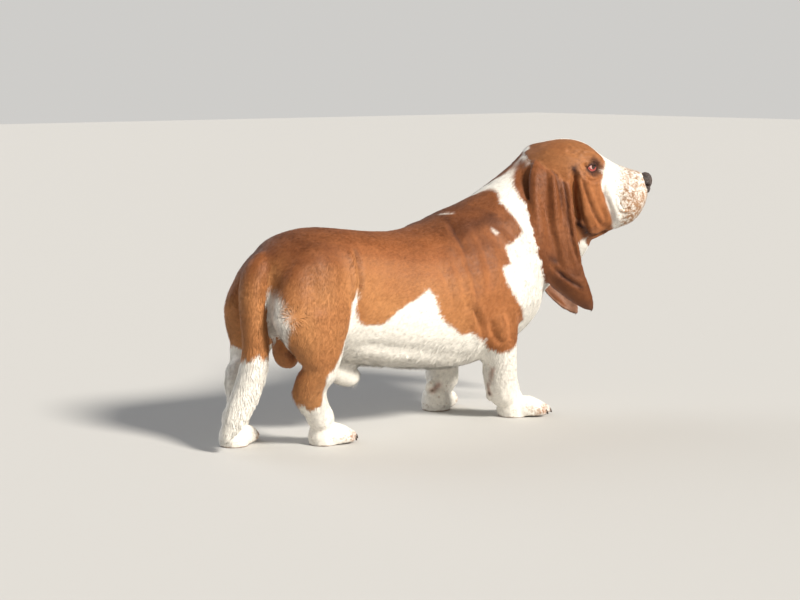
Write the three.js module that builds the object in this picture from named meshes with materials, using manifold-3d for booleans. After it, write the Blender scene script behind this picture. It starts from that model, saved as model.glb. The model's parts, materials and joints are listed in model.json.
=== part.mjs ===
// A basset hound standing still, its head raised and turned to its right, at life size.
// Millimetres. +X points to the front of the dog, +Y to its left, +Z up, and it stands on z = 0.
// Each limb and mass is a loft through stations. The flesh is joined into one body, and thin cuts part it.
import * as THREE from "three";
import { mergeVertices } from "three/addons/utils/BufferGeometryUtils.js";
import Module from "manifold-3d";

const wasm = await Module();
wasm.setup();

// Driving dimensions
const gap = 0.3; // between neighbouring pieces
const withersHeight = 360;
const croupHeight = 338;
const loinHeight = 323;
const chestBottom = 88;
const chestHalf = 114;
const loinHalf = 96;
const pelvisHalf = 92;
const rumpX = -300;
const forechestX = 284;

const headYaw = -40; // degrees, towards the dog's right
const occiput = new THREE.Vector3(269, -16, 451);
const eyeRadius = 11.5;
const eyeAt = { u: 98, v: 35, w: -31 }; // in the head's own frame
const eyeTurn = 48; // degrees outwards from the muzzle
const earThickness = 5;
const noseAt = { u: 197, w: -59 };

const elbowCut = 148; // height at which the foreleg leaves the shoulder
const thighCut = 150;
const hipCut = 290;
const scrotumCut = 180;
const forePawCut = 54;
const hindPawCut = 44;

const degrees = Math.PI / 180;
const vector = (x, y, z) => new THREE.Vector3(x, y, z);
const both = [
  { name: "left", side: 1 },
  { name: "right", side: -1 },
];

// Solids

function toSolid(geometry) {
  const bare = new THREE.BufferGeometry();
  const source = geometry.index ? geometry.toNonIndexed() : geometry;
  bare.setAttribute("position", source.getAttribute("position"));
  const merged = mergeVertices(bare, 1e-4);
  return new wasm.Manifold(
    new wasm.Mesh({
      numProp: 3,
      vertProperties: new Float32Array(merged.attributes.position.array),
      triVerts: new Uint32Array(merged.index.array),
    }),
  );
}

function toGeometry(solid) {
  const mesh = solid.getMesh();
  const geometry = new THREE.BufferGeometry();
  geometry.setAttribute("position", new THREE.BufferAttribute(mesh.vertProperties, 3));
  geometry.setIndex(new THREE.BufferAttribute(mesh.triVerts, 1));
  geometry.computeVertexNormals();
  return geometry;
}

const join = (...solids) => solids.reduce((all, solid) => all.add(solid));

// The largest closed surface of a solid, without sealed hollows or loose scraps.
function largest(solid) {
  return solid.decompose().reduce((best, piece) => (piece.volume() > best.volume() ? piece : best));
}

function signedVolume(position, index) {
  const a = vector(0, 0, 0);
  const b = vector(0, 0, 0);
  const c = vector(0, 0, 0);
  let total = 0;
  for (let i = 0; i < index.length; i += 3) {
    a.fromBufferAttribute(position, index[i]);
    b.fromBufferAttribute(position, index[i + 1]);
    c.fromBufferAttribute(position, index[i + 2]);
    total += a.dot(b.cross(c)) / 6;
  }
  return total;
}

// A closed solid through rings of as many points each. A sheet's two faces get like diagonals.
function loft(rings, isSheet = false) {
  const sides = rings[0].length;
  const points = rings.flat();
  const index = [];
  for (let r = 0; r + 1 < rings.length; r++) {
    for (let i = 0; i < sides; i++) {
      const a = r * sides + i;
      const b = r * sides + ((i + 1) % sides);
      const c = a + sides;
      const d = b + sides;
      if (isSheet && i >= sides / 2) index.push(a, b, c, b, d, c);
      else index.push(a, b, d, a, d, c);
    }
  }
  for (const [r, turned] of [[0, true], [rings.length - 1, false]]) {
    const middle = vector(0, 0, 0);
    rings[r].forEach((p) => middle.addScaledVector(p, 1 / sides));
    points.push(middle);
    for (let i = 0; i < sides; i++) {
      const a = r * sides + i;
      const b = r * sides + ((i + 1) % sides);
      index.push(points.length - 1, turned ? b : a, turned ? a : b);
    }
  }
  const geometry = new THREE.BufferGeometry().setFromPoints(points);
  if (signedVolume(geometry.attributes.position, index) < 0) index.reverse();
  geometry.setIndex(index);
  return toSolid(geometry);
}

function ellipsoid(centre, radii, detail = 14, turn = new THREE.Euler()) {
  const ball = new THREE.SphereGeometry(1, detail, Math.round(detail * 0.7));
  const place = new THREE.Matrix4().compose(centre, new THREE.Quaternion().setFromEuler(turn), radii);
  return toSolid(ball.applyMatrix4(place));
}

function block(low, high, place = new THREE.Matrix4()) {
  const size = vector(...high).sub(vector(...low));
  const middle = vector(...high).add(vector(...low)).multiplyScalar(0.5);
  const box = new THREE.BoxGeometry(size.x, size.y, size.z).translate(middle.x, middle.y, middle.z);
  return toSolid(box.applyMatrix4(place));
}

const placed = (solid, matrix) => solid.transform(matrix.elements);

// Stations

// Smooth values between stations, which share the same keys; `at` is the place along the loft.
function smoothly(stations) {
  const keys = Object.keys(stations[0]).filter((key) => key !== "at");
  const places = stations.map((station) => station.at);
  const values = stations.flatMap((station) => keys.flatMap((key) => station[key]));
  const curve = new THREE.CubicInterpolant(places, values, values.length / places.length);
  return (at) => {
    const found = [...curve.evaluate(at)];
    const take = (key) => (Array.isArray(stations[0][key]) ? found.splice(0, 3) : found.shift());
    return Object.fromEntries(keys.map((key) => [key, take(key)]));
  };
}

// `count` places from the first station to the last, closer together at both ends.
function spread(stations, count, crowding = 0.5) {
  const first = stations[0].at;
  const last = stations[stations.length - 1].at;
  return Array.from({ length: count }, (_, i) => {
    const t = i / (count - 1);
    const eased = 0.5 - 0.5 * Math.cos(Math.PI * t);
    return first + (last - first) * THREE.MathUtils.lerp(t, eased, crowding);
  });
}

const power = (value, exponent) => Math.sign(value) * Math.abs(value) ** (2 / exponent);

// Points of an egg: `half` to each side, `up` and `down` from its widest level.
// `above` and `below` say how square each half is, 2 for a round one.
function egg({ centre, across, upwards, half, up, down, above = 2, below = 2 }, sides) {
  return Array.from({ length: sides }, (_, i) => {
    const angle = (2 * Math.PI * (i + 0.5)) / sides;
    const rises = Math.sin(angle) > 0;
    const exponent = rises ? above : below;
    return centre
      .clone()
      .addScaledVector(across, half * power(Math.cos(angle), exponent))
      .addScaledVector(upwards, (rises ? up : down) * power(Math.sin(angle), exponent));
  });
}

// Moves each point of a ring outwards by soft swellings, or inwards where `rise` is below 0.
function swell(ring, centre, swellings) {
  for (const point of ring) {
    const outwards = point.clone().sub(centre).normalize();
    let rise = 0;
    for (const { at, size, rise: most } of swellings) {
      const x = (point.x - at[0]) / size[0];
      const y = (point.y - at[1]) / size[1];
      const z = (point.z - at[2]) / size[2];
      rise += most * Math.exp(-(x * x + y * y + z * z));
    }
    point.addScaledVector(outwards, rise);
  }
  return ring;
}

const mirrored = (swellings) =>
  swellings.flatMap((one) => [one, { ...one, at: [one.at[0], -one.at[1], one.at[2]] }]);

// A body whose rings stand across X, each from `bottom` to `top` with its widest `level`.
function barrel(stations, { rings, sides, swellings = [], grow = 0 }) {
  const shape = smoothly(stations);
  return loft(
    spread(stations, rings).map((x) => {
      const s = shape(x);
      const centre = vector(x, 0, s.level);
      const ring = egg(
        {
          centre,
          across: vector(0, 1, 0),
          upwards: vector(0, 0, 1),
          half: s.half + grow,
          up: s.top - s.level + grow,
          down: s.level - s.bottom + grow,
          above: s.above,
          below: s.below,
        },
        sides,
      );
      return swell(ring, centre, swellings);
    }),
  );
}

// A limb along x, y, z, with its own reach to the front, to the back and to each side.
function limb(stations, { rings, sides, grow = 0, facing = vector(1, 0, 0) }) {
  const shape = smoothly(stations);
  const places = spread(stations, rings, 0.3);
  const step = (places[places.length - 1] - places[0]) * 1e-3;
  const middle = (at) => {
    const s = shape(at);
    return vector(s.x, s.y, s.z);
  };
  return loft(
    places.map((at) => {
      const s = shape(at);
      const centre = middle(at);
      const tangent = middle(at + step).sub(middle(at - step)).normalize();
      const across = facing.clone().cross(tangent).normalize();
      const upwards = tangent.clone().cross(across);
      const size = { half: s.wide + grow, up: s.fore + grow, down: s.aft + grow };
      return egg({ centre, across, upwards, ...size }, sides);
    }),
  );
}

// Torso: chest, loin and pelvis

const torsoStations = [
  { at: rumpX - 2, top: 262, bottom: 226, half: 14, level: 246, above: 2, below: 2 },
  { at: rumpX + 6, top: 293, bottom: 198, half: 40, level: 248, above: 2, below: 2 },
  { at: rumpX + 30, top: 320, bottom: 172, half: 66, level: 246, above: 2.1, below: 2 },
  { at: rumpX + 70, top: 334, bottom: 150, half: 84, level: 240, above: 2.2, below: 2 },
  { at: rumpX + 115, top: croupHeight, bottom: 132, half: pelvisHalf, level: 232, above: 2.3, below: 2 },
  { at: -130, top: 332, bottom: 116, half: loinHalf - 2, level: 220, above: 2.3, below: 2 },
  { at: -70, top: loinHeight + 2, bottom: 106, half: loinHalf + 6, level: 208, above: 2.2, below: 2.1 },
  { at: -10, top: loinHeight, bottom: 97, half: chestHalf - 4, level: 202, above: 2.1, below: 2.25 },
  { at: 50, top: 335, bottom: 90, half: chestHalf, level: 202, above: 2, below: 2.35 },
  {
    at: 105, top: withersHeight - 4, bottom: chestBottom,
    half: chestHalf, level: 205, above: 1.9, below: 2.2,
  },
  { at: 155, top: 350, bottom: chestBottom + 6, half: chestHalf - 3, level: 208, above: 1.9, below: 1.8 },
  { at: 200, top: 330, bottom: chestBottom + 20, half: chestHalf - 14, level: 210, above: 2, below: 1.6 },
  { at: 236, top: 304, bottom: 130, half: 82, level: 212, above: 2, below: 1.8 },
  { at: forechestX - 22, top: 274, bottom: 156, half: 58, level: 213, above: 2, below: 2 },
  { at: forechestX - 8, top: 248, bottom: 182, half: 34, level: 214, above: 2, below: 2 },
  { at: forechestX, top: 222, bottom: 206, half: 8, level: 214, above: 2, below: 2 },
];

const torsoSwellings = mirrored([
  { at: [125, 96, 255], size: [52, 40, 62], rise: 7 }, // shoulder blade
  { at: [165, 100, 205], size: [40, 40, 40], rise: 7 }, // point of shoulder
  { at: [40, 100, 190], size: [70, 50, 60], rise: 4 }, // ribs
  { at: [-60, 60, 120], size: [90, 30, 24], rise: 4 }, // loose skin along the lower flank
]);

const torsoFineness = { rings: 24, sides: 24, swellings: torsoSwellings };
const torso = barrel(torsoStations, torsoFineness);

// Neck: each station runs from a point on the nape to one on the throat

const neckStations = [
  { at: 0, nape: [48, 0, 334], throat: [182, 0, 122], half: 100, napePower: 2, throatPower: 2 },
  { at: 1, nape: [100, 0, 353], throat: [236, 0, 158], half: 104, napePower: 1.9, throatPower: 2 },
  { at: 2, nape: [152, 0, 370], throat: [278, -12, 190], half: 96, napePower: 1.9, throatPower: 1.8 },
  { at: 3, nape: [202, 0, 398], throat: [308, -38, 220], half: 81, napePower: 2, throatPower: 1.6 },
  { at: 4, nape: [240, -3, 425], throat: [334, -68, 250], half: 68, napePower: 2, throatPower: 1.5 },
  { at: 5, nape: [261, -11, 445], throat: [349, -84, 283], half: 60, napePower: 2, throatPower: 1.6 },
  { at: 6, nape: [280, -26, 440], throat: [352, -86, 312], half: 50, napePower: 2, throatPower: 2 },
];

function neckLoft(grow = 0, rings = 12, sides = 24) {
  const shape = smoothly(neckStations);
  return loft(
    spread(neckStations, rings, 0.1).map((at) => {
      const s = shape(at);
      const nape = vector(...s.nape);
      const throat = vector(...s.throat);
      const ahead = throat.clone().sub(nape);
      const across = vector(-ahead.y, ahead.x, 0).normalize();
      const reach = ahead.length() / 2;
      return egg(
        {
          centre: nape.clone().lerp(throat, 0.5),
          across,
          upwards: ahead.clone().normalize().negate(),
          half: s.half + grow,
          up: reach + grow,
          down: reach + grow,
          above: s.napePower,
          below: s.throatPower,
        },
        sides,
      );
    }),
  );
}

// Head, in its own frame: u forwards along X, v to the left along Y, w up along Z, from the occiput

const headFrame = new THREE.Matrix4()
  .makeTranslation(occiput.x, occiput.y, occiput.z)
  .multiply(new THREE.Matrix4().makeRotationZ(headYaw * degrees));

const headStations = [
  { at: -28, top: -30, bottom: -96, half: 34, level: -58, above: 2, below: 2 },
  { at: -14, top: -9, bottom: -118, half: 49, level: -56, above: 2, below: 2 },
  { at: 2, top: 1, bottom: -130, half: 56, level: -55, above: 2, below: 2 },
  { at: 28, top: 11, bottom: -142, half: 62, level: -56, above: 2.1, below: 2.1 },
  { at: 58, top: 15, bottom: -153, half: 65, level: -60, above: 2.1, below: 2.2 },
  { at: 84, top: 11, bottom: -160, half: 61, level: -68, above: 2.1, below: 2.3 },
  { at: 106, top: 1, bottom: -160, half: 52, level: -78, above: 2.1, below: 2.4 },
  { at: 124, top: -13, bottom: -151, half: 43, level: -86, above: 2.1, below: 2.6 },
  { at: 142, top: -26, bottom: -143, half: 38.5, level: -92, above: 2.1, below: 2.8 },
  { at: 162, top: -34, bottom: -136, half: 37, level: -92, above: 2.1, below: 2.8 },
  { at: 178, top: -39, bottom: -127, half: 34.5, level: -90, above: 2.1, below: 2.5 },
  { at: 190, top: -43, bottom: -113, half: 29, level: -84, above: 2, below: 2.2 },
  { at: 198, top: -50, bottom: -98, half: 20, level: -78, above: 2, below: 2 },
  { at: 202, top: -60, bottom: -88, half: 11, level: -75, above: 2, below: 2 },
  { at: 203, top: -68, bottom: -80, half: 5, level: -74, above: 2, below: 2 },
];

const headSwellings = [
  { at: [0, 0, 2], size: [16, 16, 16], rise: 5 }, // occiput
  { at: [116, 0, -4], size: [18, 9, 14], rise: -5 }, // furrow at the stop
  ...mirrored([
    { at: [94, 34, -8], size: [17, 15, 13], rise: 6 }, // brow
    { at: [119, 34, -38], size: [11, 12, 14], rise: -5 }, // in front of the eye
    { at: [78, 62, -52], size: [26, 20, 18], rise: 5 }, // cheekbone
    { at: [100, 48, -118], size: [13, 26, 34], rise: 6 }, // cheek fold
    { at: [121, 44, -112], size: [9, 22, 34], rise: -5 }, // crease behind the lips
    { at: [158, 38, -102], size: [24, 22, 28], rise: 4 }, // hanging lip
    { at: [184, 26, -84], size: [13, 14, 15], rise: 3 }, // whisker pad
  ]),
];

const headFineness = { rings: 27, sides: 24, swellings: headSwellings };
const skull = barrel(headStations, headFineness);

const jawStations = [
  { at: 88, top: -116, bottom: -145, half: 26, level: -130, above: 3, below: 2 },
  { at: 120, top: -112, bottom: -140, half: 25, level: -126, above: 3, below: 2 },
  { at: 150, top: -108, bottom: -133, half: 22, level: -120, above: 3, below: 2 },
  { at: 172, top: -104, bottom: -124, half: 17, level: -114, above: 2.5, below: 2 },
  { at: 181, top: -105, bottom: -118, half: 10, level: -111, above: 2, below: 2 },
  { at: 184, top: -108, bottom: -114, half: 4, level: -111, above: 2, below: 2 },
];
const lipRoom = 2.6; // between the lower jaw and the lips that hang over it
const openBelow = [1, 9, 14, 17, 15, 12]; // the lips part below the jaw, and its root stays covered
const mouthStations = jawStations.map((s, i) => ({
  ...s,
  at: i ? s.at + lipRoom : s.at - gap,
  bottom: s.bottom - openBelow[i],
  half: s.half + lipRoom,
  top: s.top + lipRoom,
}));

const jaw = barrel(jawStations, { rings: 11, sides: 14 });
const mouthRoom = barrel(mouthStations, { rings: 11, sides: 14 });

// Nose leather, with a nostril and its side slit on each side
function noseLeather(grow = 0) {
  const pad = ellipsoid(
    vector(noseAt.u, 0, noseAt.w),
    vector(13.5 + grow, 17.5 + grow, 16.5 + grow),
    14,
    new THREE.Euler(0, 0.25, 0),
  );
  const lower = ellipsoid(vector(199, 0, -71), vector(9 + grow, 8 + grow, 10 + grow), 10);
  return join(pad, lower);
}

function nostrils() {
  const holes = both.map(({ side }) => {
    const hole = ellipsoid(vector(210, 8 * side, -60), vector(9, 3.8, 4.6), 8);
    const slant = new THREE.Euler(0.35 * side, 0, 0);
    const slit = ellipsoid(vector(204, 15 * side, -64), vector(8, 7, 2), 8, slant);
    return join(hole, slit);
  });
  return join(...holes);
}

// Eyes: a ball behind an almond opening in a thin pair of lids
function eyeFrame(side) {
  return new THREE.Matrix4()
    .makeTranslation(eyeAt.u, eyeAt.v * side, eyeAt.w)
    .multiply(new THREE.Matrix4().makeRotationZ(eyeTurn * side * degrees));
}

function lidOpening() {
  const almond = new THREE.Shape();
  almond.moveTo(-10.5, 0);
  almond.quadraticCurveTo(-1, 11, 10.5, 1);
  almond.quadraticCurveTo(1, -15, -10.5, 0);
  const prism = new THREE.ExtrudeGeometry(almond, { depth: 22, bevelEnabled: false, curveSegments: 7 });
  return toSolid(prism.rotateX(Math.PI / 2).rotateZ(Math.PI / 2));
}

const socketHollow = { ahead: 17, radii: [7, 17, 12] };
const lidThickness = 2.2;

function withEyes(head) {
  let made = head;
  for (const { side } of both) {
    const frame = eyeFrame(side);
    const hollow = ellipsoid(vector(socketHollow.ahead, 0, -1), vector(...socketHollow.radii), 12);
    const lid = ellipsoid(vector(0, 0, 0), vector(1, 1, 1).multiplyScalar(eyeRadius + lidThickness), 16);
    const ball = ellipsoid(vector(0, 0, 0), vector(1, 1, 1).multiplyScalar(eyeRadius + gap), 16);
    made = made.subtract(placed(hollow, frame)).add(placed(lid, frame));
    made = made.subtract(placed(lidOpening(), frame)).subtract(placed(ball, frame));
  }
  return made;
}

// Ears: a long thin sheet from the side of the skull, cupped towards the head and curled in at its end.
// The right one's rear edge lies out over the bulging neck.

const earStations = [
  { at: 0.0, u: 30, v: 30, w: -26, half: 22, tilt: 25, cup: 2, fold: 0, lean: 8, back: -6 },
  { at: 0.07, u: 30, v: 53, w: -34, half: 31, tilt: 25, cup: 7, fold: 1, lean: 10, back: -4 },
  { at: 0.17, u: 29, v: 70, w: -53, half: 36, tilt: 17, cup: 12, fold: 4, lean: 6, back: -1 },
  { at: 0.3, u: 30, v: 79, w: -88, half: 38, tilt: 6, cup: 13, fold: 5, lean: 2, back: 8 },
  { at: 0.45, u: 34, v: 83, w: -128, half: 37, tilt: 0, cup: 9, fold: 4, lean: 0, back: 21 },
  { at: 0.6, u: 42, v: 84, w: -166, half: 35, tilt: 2, cup: 7, fold: 2, lean: 0, back: 22 },
  { at: 0.75, u: 51, v: 82, w: -204, half: 38, tilt: 10, cup: 8, fold: 1, lean: 0, back: 13 },
  { at: 0.87, u: 61, v: 78, w: -232, half: 45, tilt: 22, cup: 13, fold: 0, lean: 0, back: -2 },
  { at: 0.95, u: 69, v: 70, w: -250, half: 42, tilt: 27, cup: 16, fold: 0, lean: 0, back: -10 },
  { at: 1.0, u: 76, v: 61, w: -260, half: 33, tilt: 30, cup: 15, fold: 0, lean: 0, back: -12 },
  { at: 1.03, u: 80, v: 56, w: -265, half: 15, tilt: 30, cup: 6, fold: 0, lean: 0, back: -6 },
];

function ear(side, { sweep, drop, narrow, laidBack }, rings = 22, columns = 8) {
  const shape = smoothly(earStations);
  const point = (at, s) => {
    const e = shape(at);
    const slope = e.tilt * degrees;
    const wave = e.fold * Math.cos(2.6 * Math.PI * (s - 0.15));
    const half = e.half * (1 - narrow * at * at);
    const rear = laidBack * (e.back + e.lean) - (1 - laidBack) * e.cup;
    const bowed = s < 0 ? rear * Math.abs(s) ** 1.7 : -e.cup * s * s;
    return vector(
      e.u + sweep * at * at + s * half * Math.cos(slope),
      side * (e.v + e.lean * s + bowed + wave),
      e.w - drop * at * at - s * half * Math.sin(slope),
    );
  };
  const nudge = 1e-3;
  return loft(
    spread(earStations, rings, 0.4).map((at) => {
      const faces = [1, -1].map((face) =>
        Array.from({ length: columns }, (_, i) => {
          const s = -face * (1 - (2 * i) / (columns - 1)) * 0.999;
          const along = point(at + nudge, s).sub(point(at - nudge, s));
          const acrossIt = point(at, s + nudge).sub(point(at, s - nudge));
          const normal = along.cross(acrossIt).normalize();
          const thick = (earThickness / 2) * (1 - 0.55 * Math.abs(s) ** 5);
          return point(at, s).addScaledVector(normal, face * thick);
        }),
      );
      return faces.flat();
    }),
    true,
  );
}

// Legs

const rightForeStations = [
  { at: 0, x: 126, y: 52, z: 236, fore: 34, aft: 32, wide: 30 },
  { at: 1, x: 124, y: 68, z: 206, fore: 48, aft: 42, wide: 42 },
  { at: 2, x: 122, y: 80, z: 176, fore: 50, aft: 44, wide: 41 },
  { at: 3, x: 124, y: 86, z: 148, fore: 42, aft: 38, wide: 35 },
  { at: 4, x: 132, y: 84, z: 122, fore: 33, aft: 32, wide: 30 },
  { at: 5, x: 143, y: 77, z: 92, fore: 30, aft: 29, wide: 28 },
  { at: 6, x: 154, y: 69, z: 64, fore: 28, aft: 30, wide: 27 },
  { at: 7, x: 166, y: 64, z: 44, fore: 28, aft: 29, wide: 26 },
  { at: 8, x: 177, y: 62, z: 28, fore: 19, aft: 21, wide: 19 },
];
const leftForeSteps = [0, 0, 0, 2, 4, 4, -8, -28, -47]; // the left one stands further back
const leftForeStations = rightForeStations.map((s, i) => ({ ...s, x: s.x + leftForeSteps[i] }));

const rightHindStations = [
  { at: 0, x: -214, y: 36, z: 306, fore: 34, aft: 30, wide: 24 },
  { at: 1, x: -222, y: 50, z: 282, fore: 56, aft: 50, wide: 37 },
  { at: 2, x: -228, y: 56, z: 250, fore: 68, aft: 68, wide: 42 },
  { at: 3, x: -230, y: 61, z: 216, fore: 68, aft: 78, wide: 43 },
  { at: 4, x: -234, y: 70, z: 184, fore: 56, aft: 70, wide: 37 },
  { at: 5, x: -234, y: 77, z: 157, fore: 41, aft: 48, wide: 29 },
  { at: 6, x: -232, y: 76, z: 130, fore: 31, aft: 32, wide: 25 },
  { at: 7, x: -240, y: 67, z: 108, fore: 28, aft: 32, wide: 22 },
  { at: 8, x: -240, y: 58, z: 88, fore: 27, aft: 31, wide: 21 },
  { at: 9, x: -224, y: 50, z: 63, fore: 21, aft: 22, wide: 20 },
  { at: 10, x: -210, y: 45, z: 42, fore: 22, aft: 22, wide: 21 },
  { at: 11, x: -201, y: 42, z: 27, fore: 16, aft: 17, wide: 17 },
];
const leftHindSteps = [0, 0, 0, -3, -12, -21, -37, -42, -52, -75, -102, -116]; // stretched back
const leftHindInwards = [0, 0, 0, 0, 0, 0, 1, 2, 3, 4, 3, 2];
const leftHindAft = [0, 0, 0, 0, 2, -2, -11, -5, -4, -2, 0, 0]; // its second thigh is drawn in above the hock
const leftHindStations = rightHindStations.map((s, i) => ({
  ...s,
  x: s.x + leftHindSteps[i],
  y: s.y - leftHindInwards[i],
  aft: s.aft + leftHindAft[i],
}));

const sided = (stations, side) => stations.map((s) => ({ ...s, y: s.y * side }));

const forelegs = {
  left: (grow) => limb(sided(leftForeStations, 1), { rings: 13, sides: 14, grow }),
  right: (grow) => limb(sided(rightForeStations, -1), { rings: 13, sides: 14, grow }),
};
const hindlegs = {
  left: (grow) => limb(sided(leftHindStations, 1), { rings: 17, sides: 14, grow }),
  right: (grow) => limb(sided(rightHindStations, -1), { rings: 17, sides: 14, grow }),
};

// Paws: four toes with claws round a heel, in a frame of their own at the heel

const forePaw = {
  reach: [49, 60, 59, 46],
  spreadOut: [-20, -7, 7, 20],
  height: 33,
  width: 11,
  heel: [29, 26, 36],
};
const hindPaw = {
  reach: [42, 51, 51, 42],
  spreadOut: [-18, -6.3, 6.3, 18],
  height: 30,
  width: 10,
  heel: [26, 24, 32],
};

const paws = {
  forepaw_left: { kind: forePaw, x: 122, y: 60, yaw: 38 },
  forepaw_right: { kind: forePaw, x: 184, y: -62, yaw: -27 },
  hindpaw_left: { kind: hindPaw, x: -319, y: 38, yaw: 32 },
  hindpaw_right: { kind: hindPaw, x: -205, y: -40, yaw: -10 },
};

function toe(kind, i) {
  const tip = kind.reach[i];
  const side = kind.spreadOut[i];
  const knuckle = kind.height;
  const stations = [
    { at: 0, x: tip - 56, y: side * 0.4, z: knuckle - 14, fore: 12, aft: 10, wide: kind.width * 0.8 },
    { at: 1, x: tip - 34, y: side * 0.82, z: knuckle - 16, fore: 16, aft: 15, wide: kind.width * 1.02 },
    { at: 2, x: tip - 16, y: side * 1.03, z: 15, fore: 14, aft: 14, wide: kind.width * 1.05 },
    { at: 3, x: tip - 5, y: side * 1.08, z: 11, fore: 10, aft: 11, wide: kind.width * 0.9 },
    { at: 4, x: tip, y: side * 1.1, z: 9, fore: 5, aft: 5, wide: kind.width * 0.45 },
  ];
  return limb(stations, { rings: 6, sides: 7, facing: vector(0, 0, 1) });
}

function claw(kind, i) {
  const tip = kind.reach[i];
  const side = kind.spreadOut[i] * 1.1;
  const stations = [
    { at: 0, x: tip - 8, y: side, z: 11.5, fore: 3.8, aft: 3.8, wide: 3 },
    { at: 1, x: tip + 2, y: side, z: 9.5, fore: 3.2, aft: 3.2, wide: 2.6 },
    { at: 2, x: tip + 8, y: side * 1.03, z: 4.5, fore: 1.3, aft: 1.3, wide: 1 },
  ];
  return limb(stations, { rings: 4, sides: 5, facing: vector(0, 0, 1) });
}

function pawSolid({ kind, x, y, yaw }) {
  const [long, wide, high] = kind.heel;
  const pieces = [ellipsoid(vector(4, 0, 12), vector(long, wide, high), 10)];
  for (let i = 0; i < kind.reach.length; i++) pieces.push(toe(kind, i), claw(kind, i));
  const frame = new THREE.Matrix4().makeTranslation(x, y, 0);
  frame.multiply(new THREE.Matrix4().makeRotationZ(yaw * degrees));
  return placed(join(...pieces), frame);
}

// Tail: hangs from the croup between the thighs and swings back to its tip

const tailStations = [
  { at: 0, x: -268, y: 0, z: 292, fore: 20, aft: 20, wide: 22 },
  { at: 1, x: -294, y: -2, z: 280, fore: 23, aft: 22, wide: 24 },
  { at: 2, x: -310, y: -7, z: 252, fore: 22, aft: 22, wide: 23 },
  { at: 3, x: -314, y: -12, z: 212, fore: 21, aft: 21, wide: 21 },
  { at: 4, x: -312, y: -15, z: 170, fore: 21, aft: 21, wide: 20 },
  { at: 5, x: -317, y: -15, z: 130, fore: 24, aft: 21, wide: 20 },
  { at: 6, x: -330, y: -12, z: 92, fore: 25, aft: 21, wide: 19 },
  { at: 7, x: -345, y: -9, z: 60, fore: 21, aft: 18, wide: 16 },
  { at: 8, x: -357, y: -6, z: 35, fore: 13, aft: 12, wide: 10 },
  { at: 9, x: -363, y: -5, z: 21, fore: 3, aft: 3, wide: 3 },
];
const tailLoft = (grow = 0, stations = tailStations) => limb(stations, { rings: 20, sides: 12, grow });

// Sheath and scrotum of the male

const sheath = limb(
  [
    { at: 0, x: -200, y: 0, z: 150, fore: 26, aft: 22, wide: 20 },
    { at: 1, x: -165, y: 0, z: 122, fore: 22, aft: 22, wide: 19 },
    { at: 2, x: -132, y: 0, z: 103, fore: 20, aft: 24, wide: 18 },
    { at: 3, x: -108, y: 0, z: 94, fore: 14, aft: 19, wide: 14 },
    { at: 4, x: -98, y: 0, z: 92, fore: 6, aft: 8, wide: 6 },
  ],
  { rings: 10, sides: 12, facing: vector(0, 0, 1) },
);
const scrotumStations = [
  { at: 0, x: -262, y: 0, z: 232, fore: 26, aft: 16, wide: 24 },
  { at: 1, x: -258, y: -1, z: 198, fore: 26, aft: 16, wide: 22 },
  { at: 2, x: -252, y: -4, z: 168, fore: 22, aft: 18, wide: 20 },
  { at: 3, x: -248, y: -7, z: 146, fore: 21, aft: 22, wide: 23 },
  { at: 4, x: -247, y: -8, z: 128, fore: 15, aft: 16, wide: 17 },
  { at: 5, x: -247, y: -8, z: 122, fore: 6, aft: 6, wide: 7 },
];
const scrotum = (grow) => limb(scrotumStations, { rings: 8, sides: 10, grow });

// Carpal pads, behind the wrists
const carpalPads = {
  left: ellipsoid(vector(107, 58, 42), vector(10, 8, 13), 8, new THREE.Euler(0, 0.35, 0)),
  right: ellipsoid(vector(140, -60, 42), vector(10, 8, 13), 8, new THREE.Euler(0, 0.35, 0)),
};

// The whole flesh, parted by cuts

const pawSolids = Object.fromEntries(Object.entries(paws).map(([name, paw]) => [name, pawSolid(paw)]));

let flesh = join(
  torso,
  neckLoft(),
  placed(skull, headFrame),
  sheath,
  scrotum(0),
  carpalPads.left,
  carpalPads.right,
  forelegs.left(0),
  forelegs.right(0),
  hindlegs.left(0),
  hindlegs.right(0),
  ...Object.values(pawSolids),
);
flesh = flesh.subtract(placed(mouthRoom, headFrame));
flesh = flesh.subtract(block([-600, -300, -100], [600, 300, 0])); // flat soles on the floor

const nodes = {};

// Takes what lies inside `region(0)` out of the flesh as a node, and leaves the gap round it.
function part(name, region) {
  nodes[name] = largest(flesh.intersect(region(0)));
  flesh = flesh.subtract(region(gap));
}

// A block whose frame stands at `origin`, with +X along `ahead` and +Y across.
function blockAt(origin, ahead, low, high) {
  const x = ahead.clone().normalize();
  const y = vector(-x.y, x.x, 0).normalize();
  const z = x.clone().cross(y);
  const place = new THREE.Matrix4().makeBasis(x, y, z).setPosition(origin);
  return (grow) => block(low.map((v) => v - grow), high.map((v) => v + grow), place);
}

function cutPlaneAcross(napeAt, throatAt) {
  const down = throatAt.clone().sub(napeAt);
  const flat = vector(down.x, down.y, 0).normalize();
  return vector(-down.z * flat.x, -down.z * flat.y, Math.hypot(down.x, down.y));
}

const headCut = { nape: vector(252, -7, 452), throat: vector(350, -86, 276) };
const neckCut = { nape: vector(118, 0, 372), throat: vector(322, 0, 205) };
const headCutPlane = cutPlaneAcross(headCut.nape, headCut.throat);
const neckCutPlane = cutPlaneAcross(neckCut.nape, neckCut.throat);
const headRegion = blockAt(headCut.nape, headCutPlane, [0, -150, -400], [400, 150, 200]);
const neckRegion = blockAt(neckCut.nape, neckCutPlane, [0, -180, -400], [300, 180, 200]);

part("head", headRegion);
part("neck", neckRegion);

for (const [name, paw] of Object.entries(paws)) {
  const top = name.startsWith("fore") ? forePawCut : hindPawCut;
  const reach = [70, 46];
  const middle = [paw.x, paw.y];
  const low = [middle[0] - reach[0], middle[1] - reach[1], -10];
  const high = [middle[0] + reach[0] + 30, middle[1] + reach[1], top];
  part(name, (grow) => block(low.map((v) => v - grow), high.map((v) => v + grow)));
}

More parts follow.
